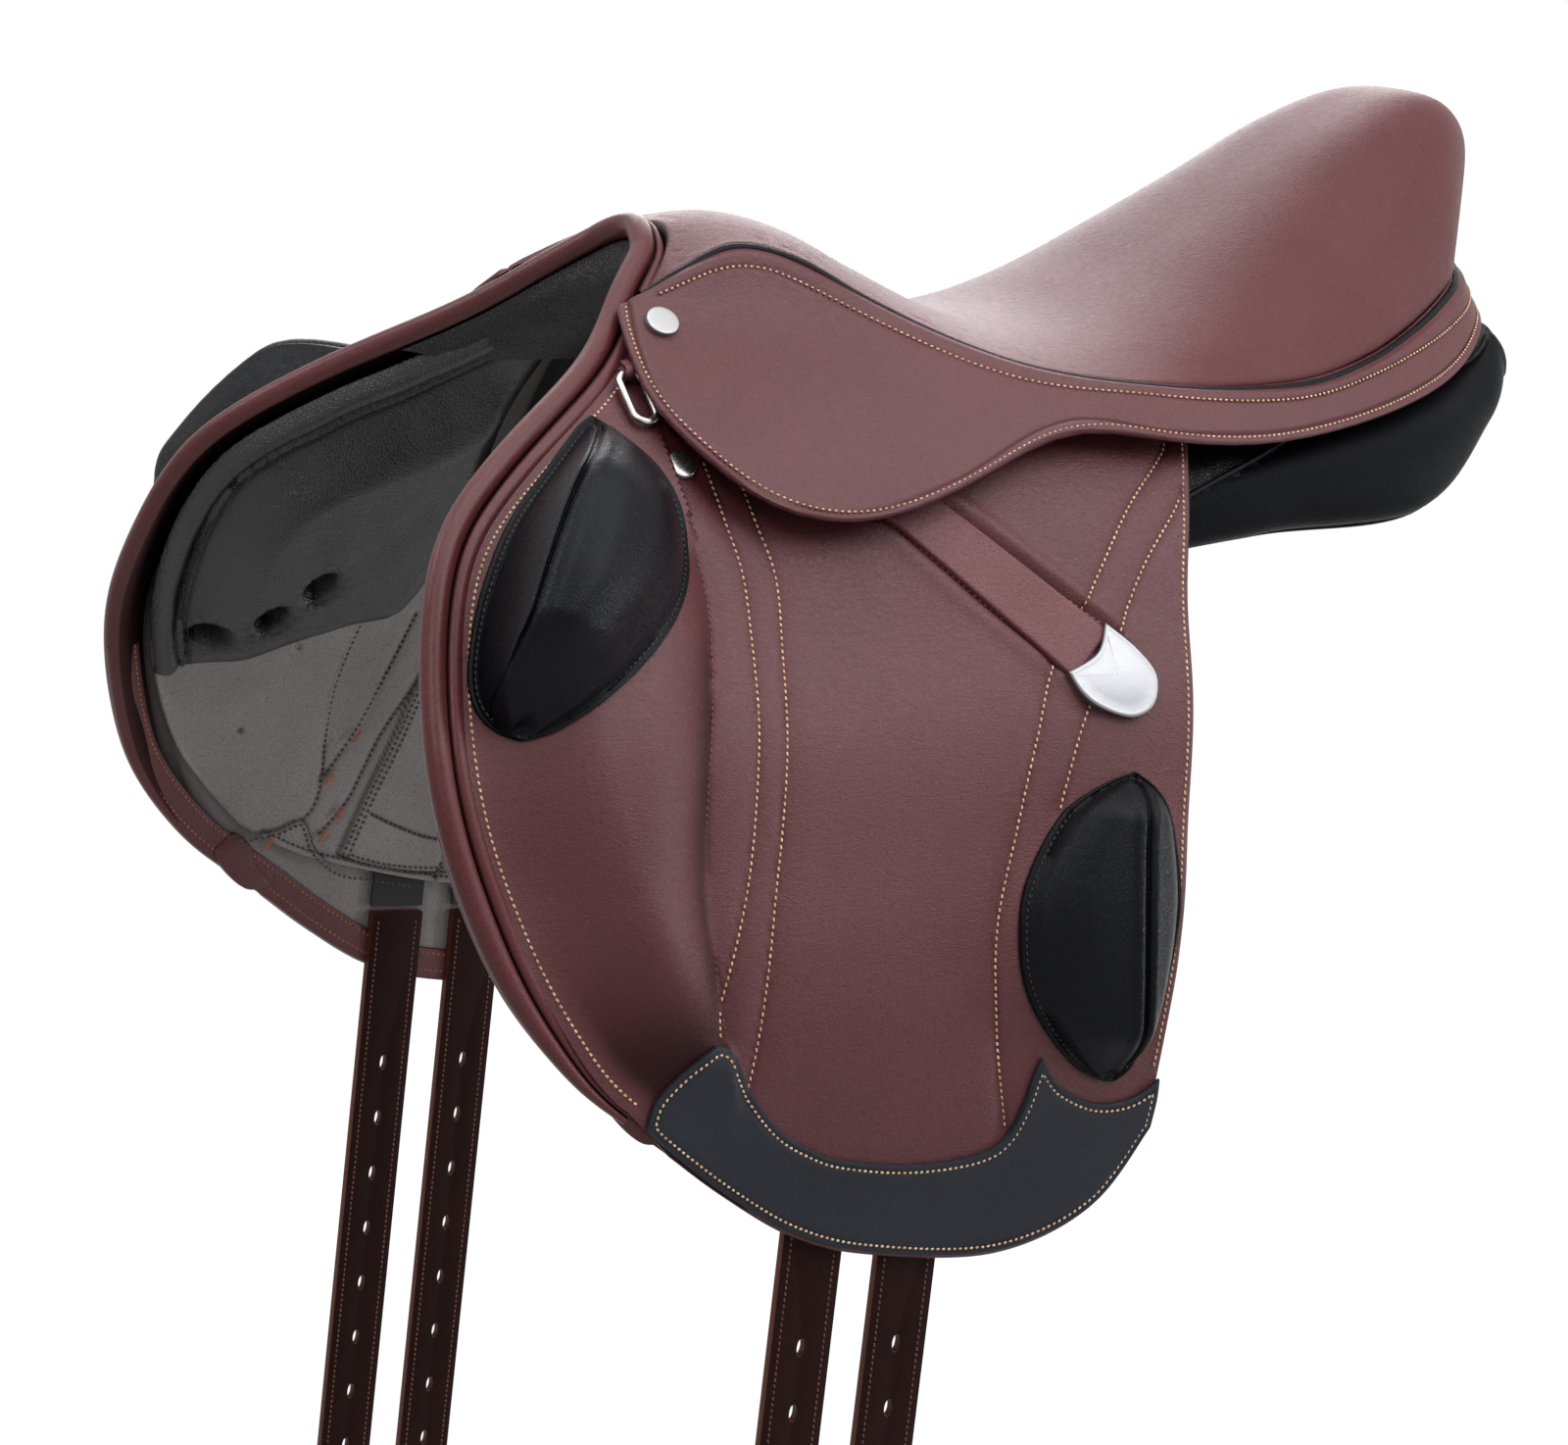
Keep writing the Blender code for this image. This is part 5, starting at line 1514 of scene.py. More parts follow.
@dataclass
class Skirt:
    """One side's skirt with the strip that goes on from it to the cantle, and the piping."""

    side: Side
    edge: Array = table(
        (199, 58, 104), (206, 81, 90), (208, 106, 72), (198, 128, 54), (172, 150, 31), (130, 158, 23),
        (80, 156, 35), (26, 147, 55), (-25, 152, 47), (-81, 147, 42), (-135, 138, 46), (-185, 119, 53),
        (-221, 97, 61), (-244, 78, 71), (-257, 61, 78), (-265, 42, 82), (-271, 20, 81))
    thickness: float = 3.5 * MM
    piping: float = 2 * MM
    piping_clearance: float = 0.9 * MM
    highest: float = 100 * MM
    levelling: float = 6 * MM
    follows: Array = table(-60, 40)
    follow_share: float = 0.8
    low_row: float = 5.4 * MM
    high_row: float = 9 * MM
    high_row_first: float = 170 * MM
    high_row_dip: float = 7 * MM
    dips: Array = table(118, 168)
    bend: float = 9 * MM
    foot_back: float = 6 * MM
    backing: Array = table(-4, 9)
    backing_depth: float = 4.2 * MM
    tuck: float = 2.5 * MM
    rounding: float = 1.7 * MM
    bead: float = 1.9 * MM
    stitch: tuple = (2.9 * MM, 1.6 * MM, 0.46 * MM)

    def __post_init__(self) -> None:
        """Works out the seam, the lower edge, and the skirt's inner face between them."""
        # Behind the cantle, the strip goes on to the middle under the seat's arched edge
        share = np.linspace(1, 0.01, 9)[1:, None]
        (cx, cz, ex, ey, ez), (fx, fy, fz) = SEAT.ribs[-1, :5], self.edge[-1]
        arch = np.hstack([cx + (ex - cx) * share ** 2, ey * share, cz + (ez - cz) * share ** 2])
        foot = np.hstack([fx - self.foot_back * (1 - share ** 2), fy * share, fz + 0 * share])
        self.seam = np.concatenate([SEAT.seam, arch])
        self.low = np.concatenate([smooth(self.edge, SEAT.steps), foot])
        self.along = ways(self.seam)
        down = self.low - self.seam
        self.down = unit(down - self.along * np.sum(down * self.along, axis=1, keepdims=True))
        self.start = self.seam + self.down * (2 * self.piping + self.piping_clearance)
        self.tall = np.linalg.norm(self.low - self.start, axis=1)
        self.shares = spaced(float(self.tall.max()), 2.6 * MM, mm(0.5, 1.3, 2.5))
        self.inner = self.surface(self.shares)
        self.outs = unit(np.cross(np.gradient(self.inner, axis=1), np.gradient(self.inner, axis=0)))

    def surface(self, shares: Array) -> Array:
        """The inner face, straight down each column in side view and shaped by the flank across.

        Args:
            shares: how far down the columns its points lie, from 0 to 1.

        Returns:
            Its points, column by column.
        """
        start, low = self.start[:, None], self.low[:, None]
        share = shares[None, :]
        place = start + (low - start) * share[..., None]

        def flank(point: Array) -> Array:
            """The flank's half width beside a point, levelling out near the top."""
            above = (point[..., 2] - self.highest) / self.levelling
            return FLANK.width(point[..., 0], point[..., 2] - self.levelling * np.logaddexp(0, above))

        shaped = (flank(place) + (start[..., 1] - flank(start)) * (1 - share)
                  + (low[..., 1] - flank(low)) * share)
        follow = ease(*self.follows, place[..., 0]) * self.follow_share
        place[..., 1] += (shaped - place[..., 1]) * follow
        return calm(place, 40)

    def hang(self, obj: Piece, joint: dict) -> None:
        """Fixes a piece's place into its mesh and logs its faces; nothing makes it bend.

        Args:
            obj: the piece.
            joint: the joint on which the skirt lifts.
        """
        axis = Vector(joint["axis"]).normalized()
        middle = len(self.start) // 4
        down = Vector((self.low[middle] - self.start[middle]) * (1, self.side.value, 1))
        down = (down - axis * down.dot(axis)).normalized() * self.bend
        f"{self.side.label}_skirt"
        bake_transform(obj)
        LOG.info("%s: %d faces on the skirt's fold", obj.name, len(obj.data.polygons))

    def make(self, joint: dict) -> None:
        """Builds the skirt, its stitching and the piping.

        Args:
            joint: the joint on which the skirt lifts.
        """
        e = border(*np.moveaxis(self.inner, -1, 0))
        edge = Line(self.low[::4])
        from_edge = edge.reach(self.inner)
        bead = hump(from_edge - self.bead, 1.5 * MM)
        dip = hump(from_edge - self.low_row, 1.0 * MM)
        top_row = Line(self.high_row_path(0)[0][::4])
        high = hump(top_row.reach(self.inner), 1.2 * MM)
        rise = 0.5 * MM * bead - 0.6 * MM * dip - 0.5 * MM * high + 0.35 * MM * wander(
            self.inner, 50 * MM, 3.0)
        rise = rise - lip(e, self.rounding)
        outer = self.inner + self.outs * (self.thickness + rise)[..., None]
        inner = self.inner + self.outs * lip(e, self.rounding)[..., None]
        tuck = self.down * -2.6 * self.piping - self.outs[:, 0] * self.tuck
        for grid in (outer, inner):
            grid[:, 0] += tuck
            grid[:, 1] += 0.5 * tuck
        # Painted shade along the dips of both stitch rows
        obj = lay("skirt_leather", closed_sheet(outer, inner), BROWN,
                  ("skirt", "skirt_band"), self.side, np.maximum(0.7 * dip, 0.65 * high), body=None)
        self.hang(obj, joint)
        row, out = self.row_at(1 - self.low_row / self.tall)
        gold = Stitching("skirt_stitching", GOLD, self.side, *self.stitch)
        gold.row(row[3:-3], out[3:-3])
        self.hang(gold.make("brown_leather", None), joint)
        upper = Stitching("skirt_upper_stitching", GOLD, self.side, *self.stitch)
        upper.row(*self.high_row_path())
        upper.make("brown_leather")
        self.make_piping()

    def row_at(self, shares: Array, far: float = 3.6 * MM) -> Pair:
        """A row on the surface.

        Args:
            shares: how far down each column it goes, from 0 to 1.
            far: how far out from the inner face it lies.

        Returns:
            Its points, and the ways out.
        """
        def read(grid: Array) -> Array:
            """A grid read at the shares."""
            return np.array([[np.interp(s, self.shares, column) for column in row.T]
                             for s, row in zip(shares, grid)])

        outs = unit(read(self.outs))
        return read(self.inner) + outs * far, outs

    def high_row_path(self, far: float = 3.6 * MM) -> Pair:
        """The upper stitch row, from beside the nail to near the cantle.

        Args:
            far: how far out from the inner face it lies.

        Returns:
            Its points, and the ways out.
        """
        drop = self.high_row + self.high_row_dip * ease(*self.dips, self.start[:, 0])
        row, outs = self.row_at(drop / self.tall, far)
        first = int(np.argmax(self.start[:, 0] < self.high_row_first))
        return row[first:-8], outs[first:-8]

    def make_piping(self) -> None:
        """Builds the black piping between the seat and the skirt, and the strip behind it."""
        out = np.cross(self.along, self.down)
        centre = self.seam + self.down * (self.piping + 0.3 * MM)
        lay("piping_cord", cord(centre, self.down, out, self.piping, 12), BLACK,
            ("piping",), self.side)
        count = (len(self.seam) - 1) // BACK_STEP * BACK_STEP + 1
        drops = np.linspace(*self.backing, 9)[None, :, None]
        inner = (self.seam[:, None] + self.down[:, None] * drops
                 - self.outs[:, :1] * self.backing_depth)[-count:]
        skin = closed_sheet(inner, inner - self.outs[-count:, :1] * 1.2 * MM)
        lay("seam_backing", skin, BLACK, side=self.side)


# The panels and what lines the saddle


@dataclass
class Panels:
    """One side's panel under the seat, and the tufted pad behind the front of the flap."""

    side: Side
    sections: Array = table(
        (-260, 49, 76, 63, 77, 78, 67, 82, 54, 69, 47, 51, 56),
        (-236, 36, 62, 74, 66, 103, 54, 104, 36, 74, 26, 39, 41),
        (-180, 36, 52, 80, 54, 128, 42, 130, 5, 80, 0, 37, 24),
        (-90, 35, 48, 85, 51, 136, 33, 136, 1, 82, 0, 36, 18),
        (-10, 34, 50, 85, 50, 134, 22, 138, -11, 84, 0, 36, 24),
        (70, 32, 62, 84, 43, 132, -8, 150, -42, 98, -10, 36, 42),
        (162, 34, 83.2, 71, 53.2, 130, -22, 158, -62, 112, -22, 44, 58))
    gusset: tuple = ((-160 * MM, 1.35), (-40 * MM, 2.25), (160 * MM, 2.42))
    lower_seam: tuple = ((-260 * MM, 3.25), (160 * MM, 3.25))
    top_seam: float = 5.2
    seam_width: float = 0.09
    seam_depth: float = 1.6 * MM
    cords: tuple = (("gusset", 1.3 * MM), ("lower", 0.9 * MM))
    loop_steps: int = 10
    pad_front: Array = table((206, 89), (235, 71), (268, 54), (304, 28), (322, -8), (326, -50), (320, -91))
    pad_rear: Array = table((166, 84), (168, 62), (170, 40), (170, 20), (172, -8), (180, -38), (190, -62))
    pad_foot: Array = table(
        (320, -91), (300, -87), (277, -80), (255, -73), (232, -66), (211, -63), (190, -62))
    pad_height: float = 24 * MM
    pad_edge: float = 3 * MM
    tufts: Array = table((253, -32), (275, -49), (299, -66))
    tuft_depth: float = 10 * MM
    tuft_radius: float = 6 * MM
    folds: int = 13
    fold_depth: float = 0.45 * MM
    welt_inset: float = 11 * MM
    welt_height: float = 3.4 * MM

    def loft(self) -> Pair:
        """The panel's plain surface.

        Returns:
            Its rings from rear to front, and the ways out.
        """
        rings = np.array([
            [(row[0], y, z) for y, z in smooth(row[1:].reshape(-1, 2), self.loop_steps, closed=True)]
            for row in smooth(self.sections, 14)])
        down_the_ring = np.roll(rings, -1, axis=1) - np.roll(rings, 1, axis=1)
        outs = unit(np.cross(np.gradient(rings, axis=0), down_the_ring))
        middle = rings.mean(axis=1, keepdims=True)
        if np.mean(np.sum(outs * (rings - middle), axis=-1)) < 0:
            outs = -outs
        return rings, outs

    def make(self) -> None:
        """Builds both."""
        self.make_panel()
        self.make_pad()

    def make_panel(self) -> None:
        """Builds the panel, and the piping on its two seams."""
        rings, outs = self.loft()
        column = np.arange(rings.shape[1]) / self.loop_steps
        marks = np.zeros(rings.shape[:2])
        rise = 0.9 * MM * wander(rings, 45 * MM, 11.0)
        places = {name: np.interp(rings[:, 0, 0], *np.array(seam).T) for name, seam in
                  (("gusset", self.gusset), ("lower", self.lower_seam))}
        for place in places.values():
            near = hump(column[None, :] - place[:, None], self.seam_width)
            rise = rise - self.seam_depth * near
            # Painted shade along each seam
            marks = np.maximum(marks, 0.7 * near)
        rings_out = rings + outs * rise[..., None]
        tail = rings_out[0].mean(axis=0)
        ends = [tail + (rings_out[0] - tail) * s - (b, 0, 0) for s, b in
                ((0.35, 7 * MM), (0.7, 5 * MM), (0.92, 2 * MM))]
        rings_all = np.concatenate([ends, rings_out])
        all_marks = np.concatenate([np.zeros((len(ends), rings.shape[1])), marks])
        obj = lay("panel_leather", closed_tube(rings_all), PANEL, ("panel",),
                  self.side, all_marks, 80)
        obj.data.materials.append(PEBBLED.material())
        for face in obj.data.polygons:
            ring, place = divmod(face.vertices[0], rings.shape[1])
            place, high = place / self.loop_steps, places["gusset"][max(ring - len(ends), 0)]
            face.material_index = int(ring >= len(ends) and (place < high or place > self.top_seam))
        for name, radius in self.cords:
            index = places[name] * self.loop_steps
            below, share = index.astype(int), (index % 1)[:, None]
            every = np.arange(len(rings))
            path = sum((grid[every, below] * (1 - share) + grid[every, below + 1] * share) * far
                       for grid, far in ((rings, 1), (outs, 0.2 * MM)))
            path = path[4:-4]
            way = ways(path)
            across = unit(np.cross(way, (0, 0, 1)))
            skin = cord(path, across, np.cross(across, way), radius, 8)
            lay(name + "_cord", skin, BLACK, side=self.side)

    def make_pad(self) -> None:
        """Builds the tufted pad, with its welt and the puckers round its tufts."""
        head = np.array([self.pad_front[0], self.pad_rear[0]])
        x, z = Patch(self.pad_front, self.pad_rear, head, self.pad_foot, 1.5 * MM).grid()
        e = border(x, z)
        from_front, _sign = Line(self.pad_front).measure(x, z)
        from_rear, _sign = Line(self.pad_rear).measure(x, z)
        from_foot, _sign = Line(self.pad_foot).measure(x, z)
        rise = (self.pad_height * ease(self.welt_inset * 0.6, 42 * MM, from_front)
                * ease(-4 * MM, 26 * MM, from_rear)
                * np.sqrt(1 - np.clip(1 - from_foot / (15 * MM), 0, 1) ** 2))
        rise = rise + 6 * MM * np.sin(math.pi * np.clip(from_front / self.welt_inset, 0, 1)) ** 0.6
        welt = np.abs(from_front - self.welt_inset - 1.5 * MM)
        rise = rise + self.welt_height * hump(welt, 1.3 * MM) * ease(0, 3 * MM, from_foot)
        # Painted shade beside the welt
        crease = 0.8 * hump(welt - 3.0 * MM, 1.2 * MM)
        for k, (tx, tz) in enumerate(self.tufts):
            along_row = ((x - tx) * 0.8 + (tz - z) * 0.6) / 1.35
            across_row = (x - tx) * 0.6 + (z - tz) * 0.8
            away = np.hypot(along_row, across_row)
            turn = np.arctan2(across_row, along_row)
            pit = np.exp(-(away / self.tuft_radius) ** 3)
            pull = hump(away - 1.5 * self.tuft_radius, 5 * MM)
            sway = 3 * wander(side_view(x, z), 12 * MM, 5.0)
            folds = (0.5 + 0.5 * np.cos(self.folds * turn + 1.7 * k + sway)) ** 2
            rise = rise - self.tuft_depth * pit - self.fold_depth * pull * folds
            # Painted shade in the pits and the folds round them
            crease = np.maximum(crease, np.maximum(pit, 0.15 * pull * folds))
        rise = rise + 0.7 * MM * wander(side_view(x, z), 16 * MM, 2.0) * ease(0, 8 * MM, e)
        base = LAYERS.lining_inner - LAYERS.gap
        face = base - self.pad_edge * ease(-1 * MM, 5 * MM, e) - np.maximum(rise, 0) + lip(e, 1 * MM)
        skin = flank_sheet(x, z, face, base + 0 * x)
        obj = lay("pad_leather", skin, PAD, ("front_panel",), self.side, crease, 75)


@dataclass
class Facing:
    """The black lining of the pommel, from the roll back to the head of the tree."""

    arch: Array = table((0, 115.6), (22, 106), (43, 88), (58, 76))
    inset: float = 10.5 * MM
    rear: float = 162 * MM
    foot: float = 70 * MM
    puff: tuple = ((0, 0.0), (0.3, 5 * MM), (0.65, 6 * MM), (1, 0.0))
    thickness: float = 2.5 * MM
    depth: float = 55 * MM
    wrinkle: float = 0.9 * MM

    def make(self) -> None:
        """Builds the facing."""
        path, ins, outs = ROLL.path, ROLL.ins, ROLL.outs
        under = path + ins * ROLL.outer * 0.6 - outs * (ROLL.fall + 0.3 * MM)
        last = int(np.argmax(under[:, 2] < self.foot))
        t = np.linspace(0, 1, 61)
        rim_line = along(under[:last], t)
        arch = smooth(self.arch, 10)
        way = ways(arch)
        down = np.stack([way[:, 1], -way[:, 0]], -1)
        inner = along(arch + down * self.inset, t)
        head = np.column_stack([np.full(len(t), self.rear), inner])
        s = spaced(self.depth, 1.6 * MM)
        grid = rim_line[:, None] + (head - rim_line)[:, None] * s[None, :, None]
        inward = unit(np.stack([0.5 + 0 * t, -rim_line[:, 1], -rim_line[:, 2] - 0.1], -1))
        curve = smooth(np.array(self.puff), 10)
        puff = np.interp(s, curve[:, 0], curve[:, 1])
        wrinkle = wander(grid * (0.5, 1, 1), 7 * MM, 4.0) * self.wrinkle
        wrinkle = wrinkle * ease(0, 0.2, s) * ease(0, 0.2, 1 - s)
        base = grid + inward[:, None] * puff[None, :, None]
        low = base + inward[:, None] * (self.thickness + wrinkle[..., None])
        lay("pommel_facing_leather", closed_sheet(mirrored(low), mirrored(base)), PEBBLED,
            ("pommel_facing",))


@dataclass
class Lining:
    """One side's inner lining with its seams and patch, and the binding of the flap's edge."""

    side: Side
    top: Array = table((186, 84), (150, 100), (90, 84), (20, 62), (-24, 30))
    front: Array = table((186, 84), (240, 58), (290, 28), (317, -15), (322, -75), (303, -132), (268, -178))
    rear: Array = table((-24, 30), (-8, -40), (10, -105), (30, -190))
    bottom: Array = table(
        (268, -178), (236, -197), (196, -211), (160, -221), (120, -228), (80, -228), (46, -216), (30, -190))
    seams: tuple = (
        ((207, -64), (213, -80), (221, -108), (223, -134), (224, -160), (228, -174), (234, -180)),
        ((183, -74), (197, -112), (208, -137), (223, -159)),
        ((168, -90), (179, -114), (193, -139), (202, -159), (210, -174), (225, -189)),
        ((197, -181), (181, -190), (159, -199), (120, -204)),
        ((155, -207), (161, -220)))
    upper_edge: Array = table(
        (270, -186), (259, -184), (248, -183), (234, -180), (227, -196), (214, -208), (196, -213),
        (174, -219))
    patch_side: Array = table((164, -84), (178, -114), (189, -145), (202, -174), (215, -200))
    patch_foot: Array = table((215, -200), (202, -206), (187, -211), (161, -216), (110, -220))
    patch_rise: float = 1.3 * MM
    holes: Array = table((245, -86), (270, -128))
    hole_radius: float = 2 * MM
    hole_depth: float = 1.5 * MM
    waver: float = 2 * MM
    waver_length: float = 48 * MM
    seam_row: float = 2.4 * MM
    second_row: float = 5.4 * MM
    foot_row: float = 3.2 * MM
    tacks: Array = table((208, -137), (221, -159), (215, -178), (224, -189), (253, -189))
    binding_width: float = 16 * MM
    binding_inset: float = 0.4 * MM
    binding_ends: Array = table((340, -80), (130, -280))
    tab: Array = table(
        (279, -192), (275, -188), (268, -184), (260, -191), (257, -202), (250, -212), (262, -213),
        (274, -202))

    def make(self) -> None:
        """Builds the lining, its stitching and the binding."""
        x, z = Patch(self.front, self.rear, self.top, self.bottom, 1.3 * MM).grid()
        e = border(x, z)
        # Painted shade goes in the seams, along the upper edge, round the patch and in the holes
        rise, crease = np.zeros_like(x), np.zeros_like(x)
        lines = [Line(mm(*seam)) for seam in self.seams]
        patch = [Line(self.patch_side), Line(self.patch_foot)]
        for line in lines:
            distance, _sign = line.measure(x, z)
            rise -= 0.8 * MM * hump(distance, 2.2 * MM)
            crease = np.maximum(crease, 0.85 * hump(distance, 1.3 * MM))
        distance, sign = Line(self.upper_edge).measure(x, z)
        rise -= 1.4 * MM * ease(-0.5 * MM, 0.5 * MM, -distance * sign)
        crease = np.maximum(crease, 0.9 * hump(distance, 1.3 * MM))
        inside = np.ones_like(x)
        for line in patch:
            distance, sign = line.measure(x, z)
            inside = np.minimum(inside, ease(-0.6 * MM, 0.8 * MM, -distance * sign))
            crease = np.maximum(crease, hump(distance, 1.3 * MM))
        rise += self.patch_rise * inside
        for hx, hz in self.holes:
            hole = np.exp(-(np.hypot(x - hx, z - hz) / self.hole_radius) ** 4)
            rise -= self.hole_depth * hole
            crease = np.maximum(crease, hole)
        rise += self.waver * wander(side_view(x, z), self.waver_length, 1.0)
        rise *= ease(0, 5 * MM, e)
        face = LAYERS.lining_inner - rise + lip(e, 1 * MM)
        skin = flank_sheet(x, z, face, LAYERS.lining_outer + 0 * x)
        lay("lining_leather", skin, LINING, ("sweat_flap",), self.side, crease)
        tree, levels = search_tree(side_view(x, z).reshape(-1, 3)), face.ravel()
        thread = Stitching("lining_stitching", LINING_THREAD, self.side, radius=0.6 * MM)
        rows = [line.path for line in lines] + [inset(Line(self.upper_edge).path, self.seam_row)]
        rows += [inset(patch[0].path, -d) for d in (self.seam_row, self.second_row)]
        rows += [inset(patch[1].path, -self.seam_row)[6:]]
        rows += [inset(smooth(self.bottom, 10), -self.foot_row)[4:-4]]
        for row in rows:
            far = np.array([min(levels[found[1]] for found in tree.find_n((px, 0, pz), 4))
                            for px, pz in row])
            lay_row(thread, row, far - 0.3 * MM, inward=True)
        thread.make("lining")
        tacks = Stitching("bar_tacks", ORANGE, self.side, pitch=1.1 * MM, length=3.2 * MM,
                          radius=0.5 * MM, slant=1.2)
        for place in self.tacks:
            ends = place + np.array([(-2.4, 3.0), (2.4, -3.0)]) * MM
            lay_row(tacks, ends, LAYERS.lining_inner - 1.2 * MM, inward=True)
        tacks.make("lining")
        self.make_binding()

    def make_binding(self) -> None:
        """Builds the brown binding inside the flap's edge, its tab, and their rows."""
        edge = np.concatenate([smooth(ROLL.front, 12), smooth(FLAP.rest, 12)])
        ends = [int(np.linalg.norm(edge - place, axis=1).argmin()) for place in self.binding_ends]
        middle = calm(edge, 6)[ends[0]:ends[1] + 1]
        t = spaced(float(lengths(middle)[-1]), 2.4 * MM)
        outer = along(inset(middle, -self.binding_inset), t)
        inner = along(inset(middle, -self.binding_inset - self.binding_width), t)
        s = spaced(self.binding_width, 1.6 * MM)
        flat = outer[:, None] + (inner - outer)[:, None] * s[None, :, None]
        x, z = flat[..., 0], flat[..., 1]
        e = border(x, z)
        level = -0.2 * MM + 0 * x
        face = level - 1.5 * MM + lip(e, 1.0 * MM) - 0.4 * MM * np.sin(s[None, :] * math.pi)
        skin = flank_sheet(x, z, face, level + 0.6 * MM)
        lay("binding", skin, BROWN, side=self.side)
        outline = smooth(self.tab, 8, closed=True)
        centre = outline.mean(axis=0)
        base = -1.6 * MM
        rows = ((1.0, 1.6), (1.0, -0.9), (0.94, -1.5), (0.6, -1.7), (0.15, -1.7))
        rings = [FLANK.place(*(centre + (outline - centre) * share).T, base + out * MM)
                 for share, out in rows]
        lay("binding_tab", closed_tube(np.array(rings)), BROWN, side=self.side)
        stitches = Stitching("binding_stitching", ORANGE, self.side, radius=0.42 * MM)
        for share in (0.3, 0.84):
            lay_row(stitches, outer + (inner - outer) * share, -1.9 * MM, inward=True)
        stitches.make("brown_leather")


# What hangs from the saddle, and its metal


@dataclass
class Straps:
    """The four girth straps, each on the web that carries it, from one model."""

    width: float = 28 * MM
    thickness: float = 4.5 * MM
    first_hole: float = 78 * MM
    pitch: float = 29 * MM
    holes: int = 9
    hole: tuple = (3.6 * MM, 8 * MM)
    end: float = 46 * MM
    corner: float = 9 * MM
    rounding: float = 0.7 * MM
    row: float = 3.6 * MM
    row_start: float = 4 * MM
    row_end: float = 10 * MM
    lean: float = math.radians(6)
    top: Array = table(158, -237)
    spacing: float = 45 * MM
    web_top: float = 34 * MM
    web_thickness: float = 2.5 * MM

    def model(self) -> Piece:
        """One strap at the origin: x across, y down from its pivot, z through it.

        Returns:
            The strap.
        """
        length = self.first_hole - self.pitch / 2 + self.pitch * self.holes + self.end
        deselect()
        bpy.ops.mesh.primitive_cube_add(size=1, location=(0, length / 2, 0))
        strap = bpy.context.object
        strap.scale = (self.width, length, self.thickness)
        bpy.ops.object.transform_apply(location=True, scale=True)
        bpy.ops.object.mode_set(mode="EDIT")
        bm = bmesh.from_edit_mesh(strap.data)
        bpy.ops.mesh.select_all(action="DESELECT")
        bpy.ops.mesh.select_mode(type="EDGE")
        for edge in bm.edges:
            a, b = edge.verts
            edge.select_set(abs(a.co.z - b.co.z) > 1e-6 and min(a.co.y, b.co.y) > length / 2)
        bm.select_flush_mode()
        bmesh.update_edit_mesh(strap.data)
        bpy.ops.mesh.bevel(offset=self.corner, segments=5, affect="EDGES")
        bpy.ops.object.mode_set(mode="OBJECT")
        cutters = []
        for k in range(self.holes):
            bpy.ops.mesh.primitive_cylinder_add(
                vertices=20, radius=0.5, depth=3 * self.thickness,
                location=(0, self.first_hole + k * self.pitch, 0))
            bpy.context.object.scale = (*self.hole, 1)
            cutters.append(bpy.context.object)
        deselect()
        for cutter in cutters:
            cutter.select_set(True)
        bpy.context.view_layer.objects.active = cutters[0]
        bpy.ops.object.join()
        cutter = bpy.context.object
        deselect()
        cutter.select_set(True)
        bpy.ops.object.transform_apply(location=True, rotation=True, scale=True)
        boolean = strap.modifiers.new("holes", "BOOLEAN")
        boolean.object, boolean.operation, boolean.solver = cutter, "DIFFERENCE", "EXACT"
        apply_all(strap)
        bpy.data.objects.remove(cutter)
        rounding = strap.modifiers.new("rounding", "BEVEL")
        rounding.width, rounding.segments, rounding.harden_normals = self.rounding, 3, False
        rounding.limit_method, rounding.angle_limit = "ANGLE", math.radians(35)
        apply_all(strap)
        return strap

    def make(self, joints: dict) -> None:
        """Builds the straps, their stitching and their webs.

        Args:
            joints: the frame's joints by name.
        """
        model = self.model()
        model.data.materials.append(STRAP.material())
        model.data.materials.append(STRAP_EDGE.material())
        half = self.width / 2
        for face in model.data.polygons:
            face.material_index = int(abs(face.normal.z) < 0.75)
        length = max(v.co.y for v in model.data.vertices)
        for side in Side:
            for place in ("front", "rear"):
                name = f"{side.label}_{place}_strap"
                joint = joints[name + "_swing"]
                down = Vector((math.sin(self.lean), 0, -math.cos(self.lean)))
                axis = Vector(joint["axis"]).normalized()
                out = down.cross(axis).normalized()
                if out.y * side.value < 0:
                    out = -out
                across = down.cross(out).normalized()
                matrix = Matrix((across, down, out)).transposed().to_4x4()
                matrix.translation = Vector(joint["pos_m"])
                strap = link(name + "_leather", model.data.copy())
                put(strap, name + "_leather", matrix, STRAP, Side.NEAR)
                keep(strap, (name,), name)
                for face, z, thread in (("outer", 1, RUST), ("inner", -1, STRAP_THREAD)):
                    rows = Stitching(f"{name}_{face}_stitching", thread, None, 2.7 * MM,
                                     1.9 * MM, 0.45 * MM)
                    for x in (-half + self.row, half - self.row):
                        line = [matrix @ Vector((x, y, z * self.thickness / 2))
                                for y in np.linspace(self.row_start, length - self.row_end, 60)]
                        rows.row(np.array(line), np.array([out * z] * len(line)))
                    rows.make("strap_leather", name)
                self.make_web(side, place)
        bpy.data.objects.remove(model)

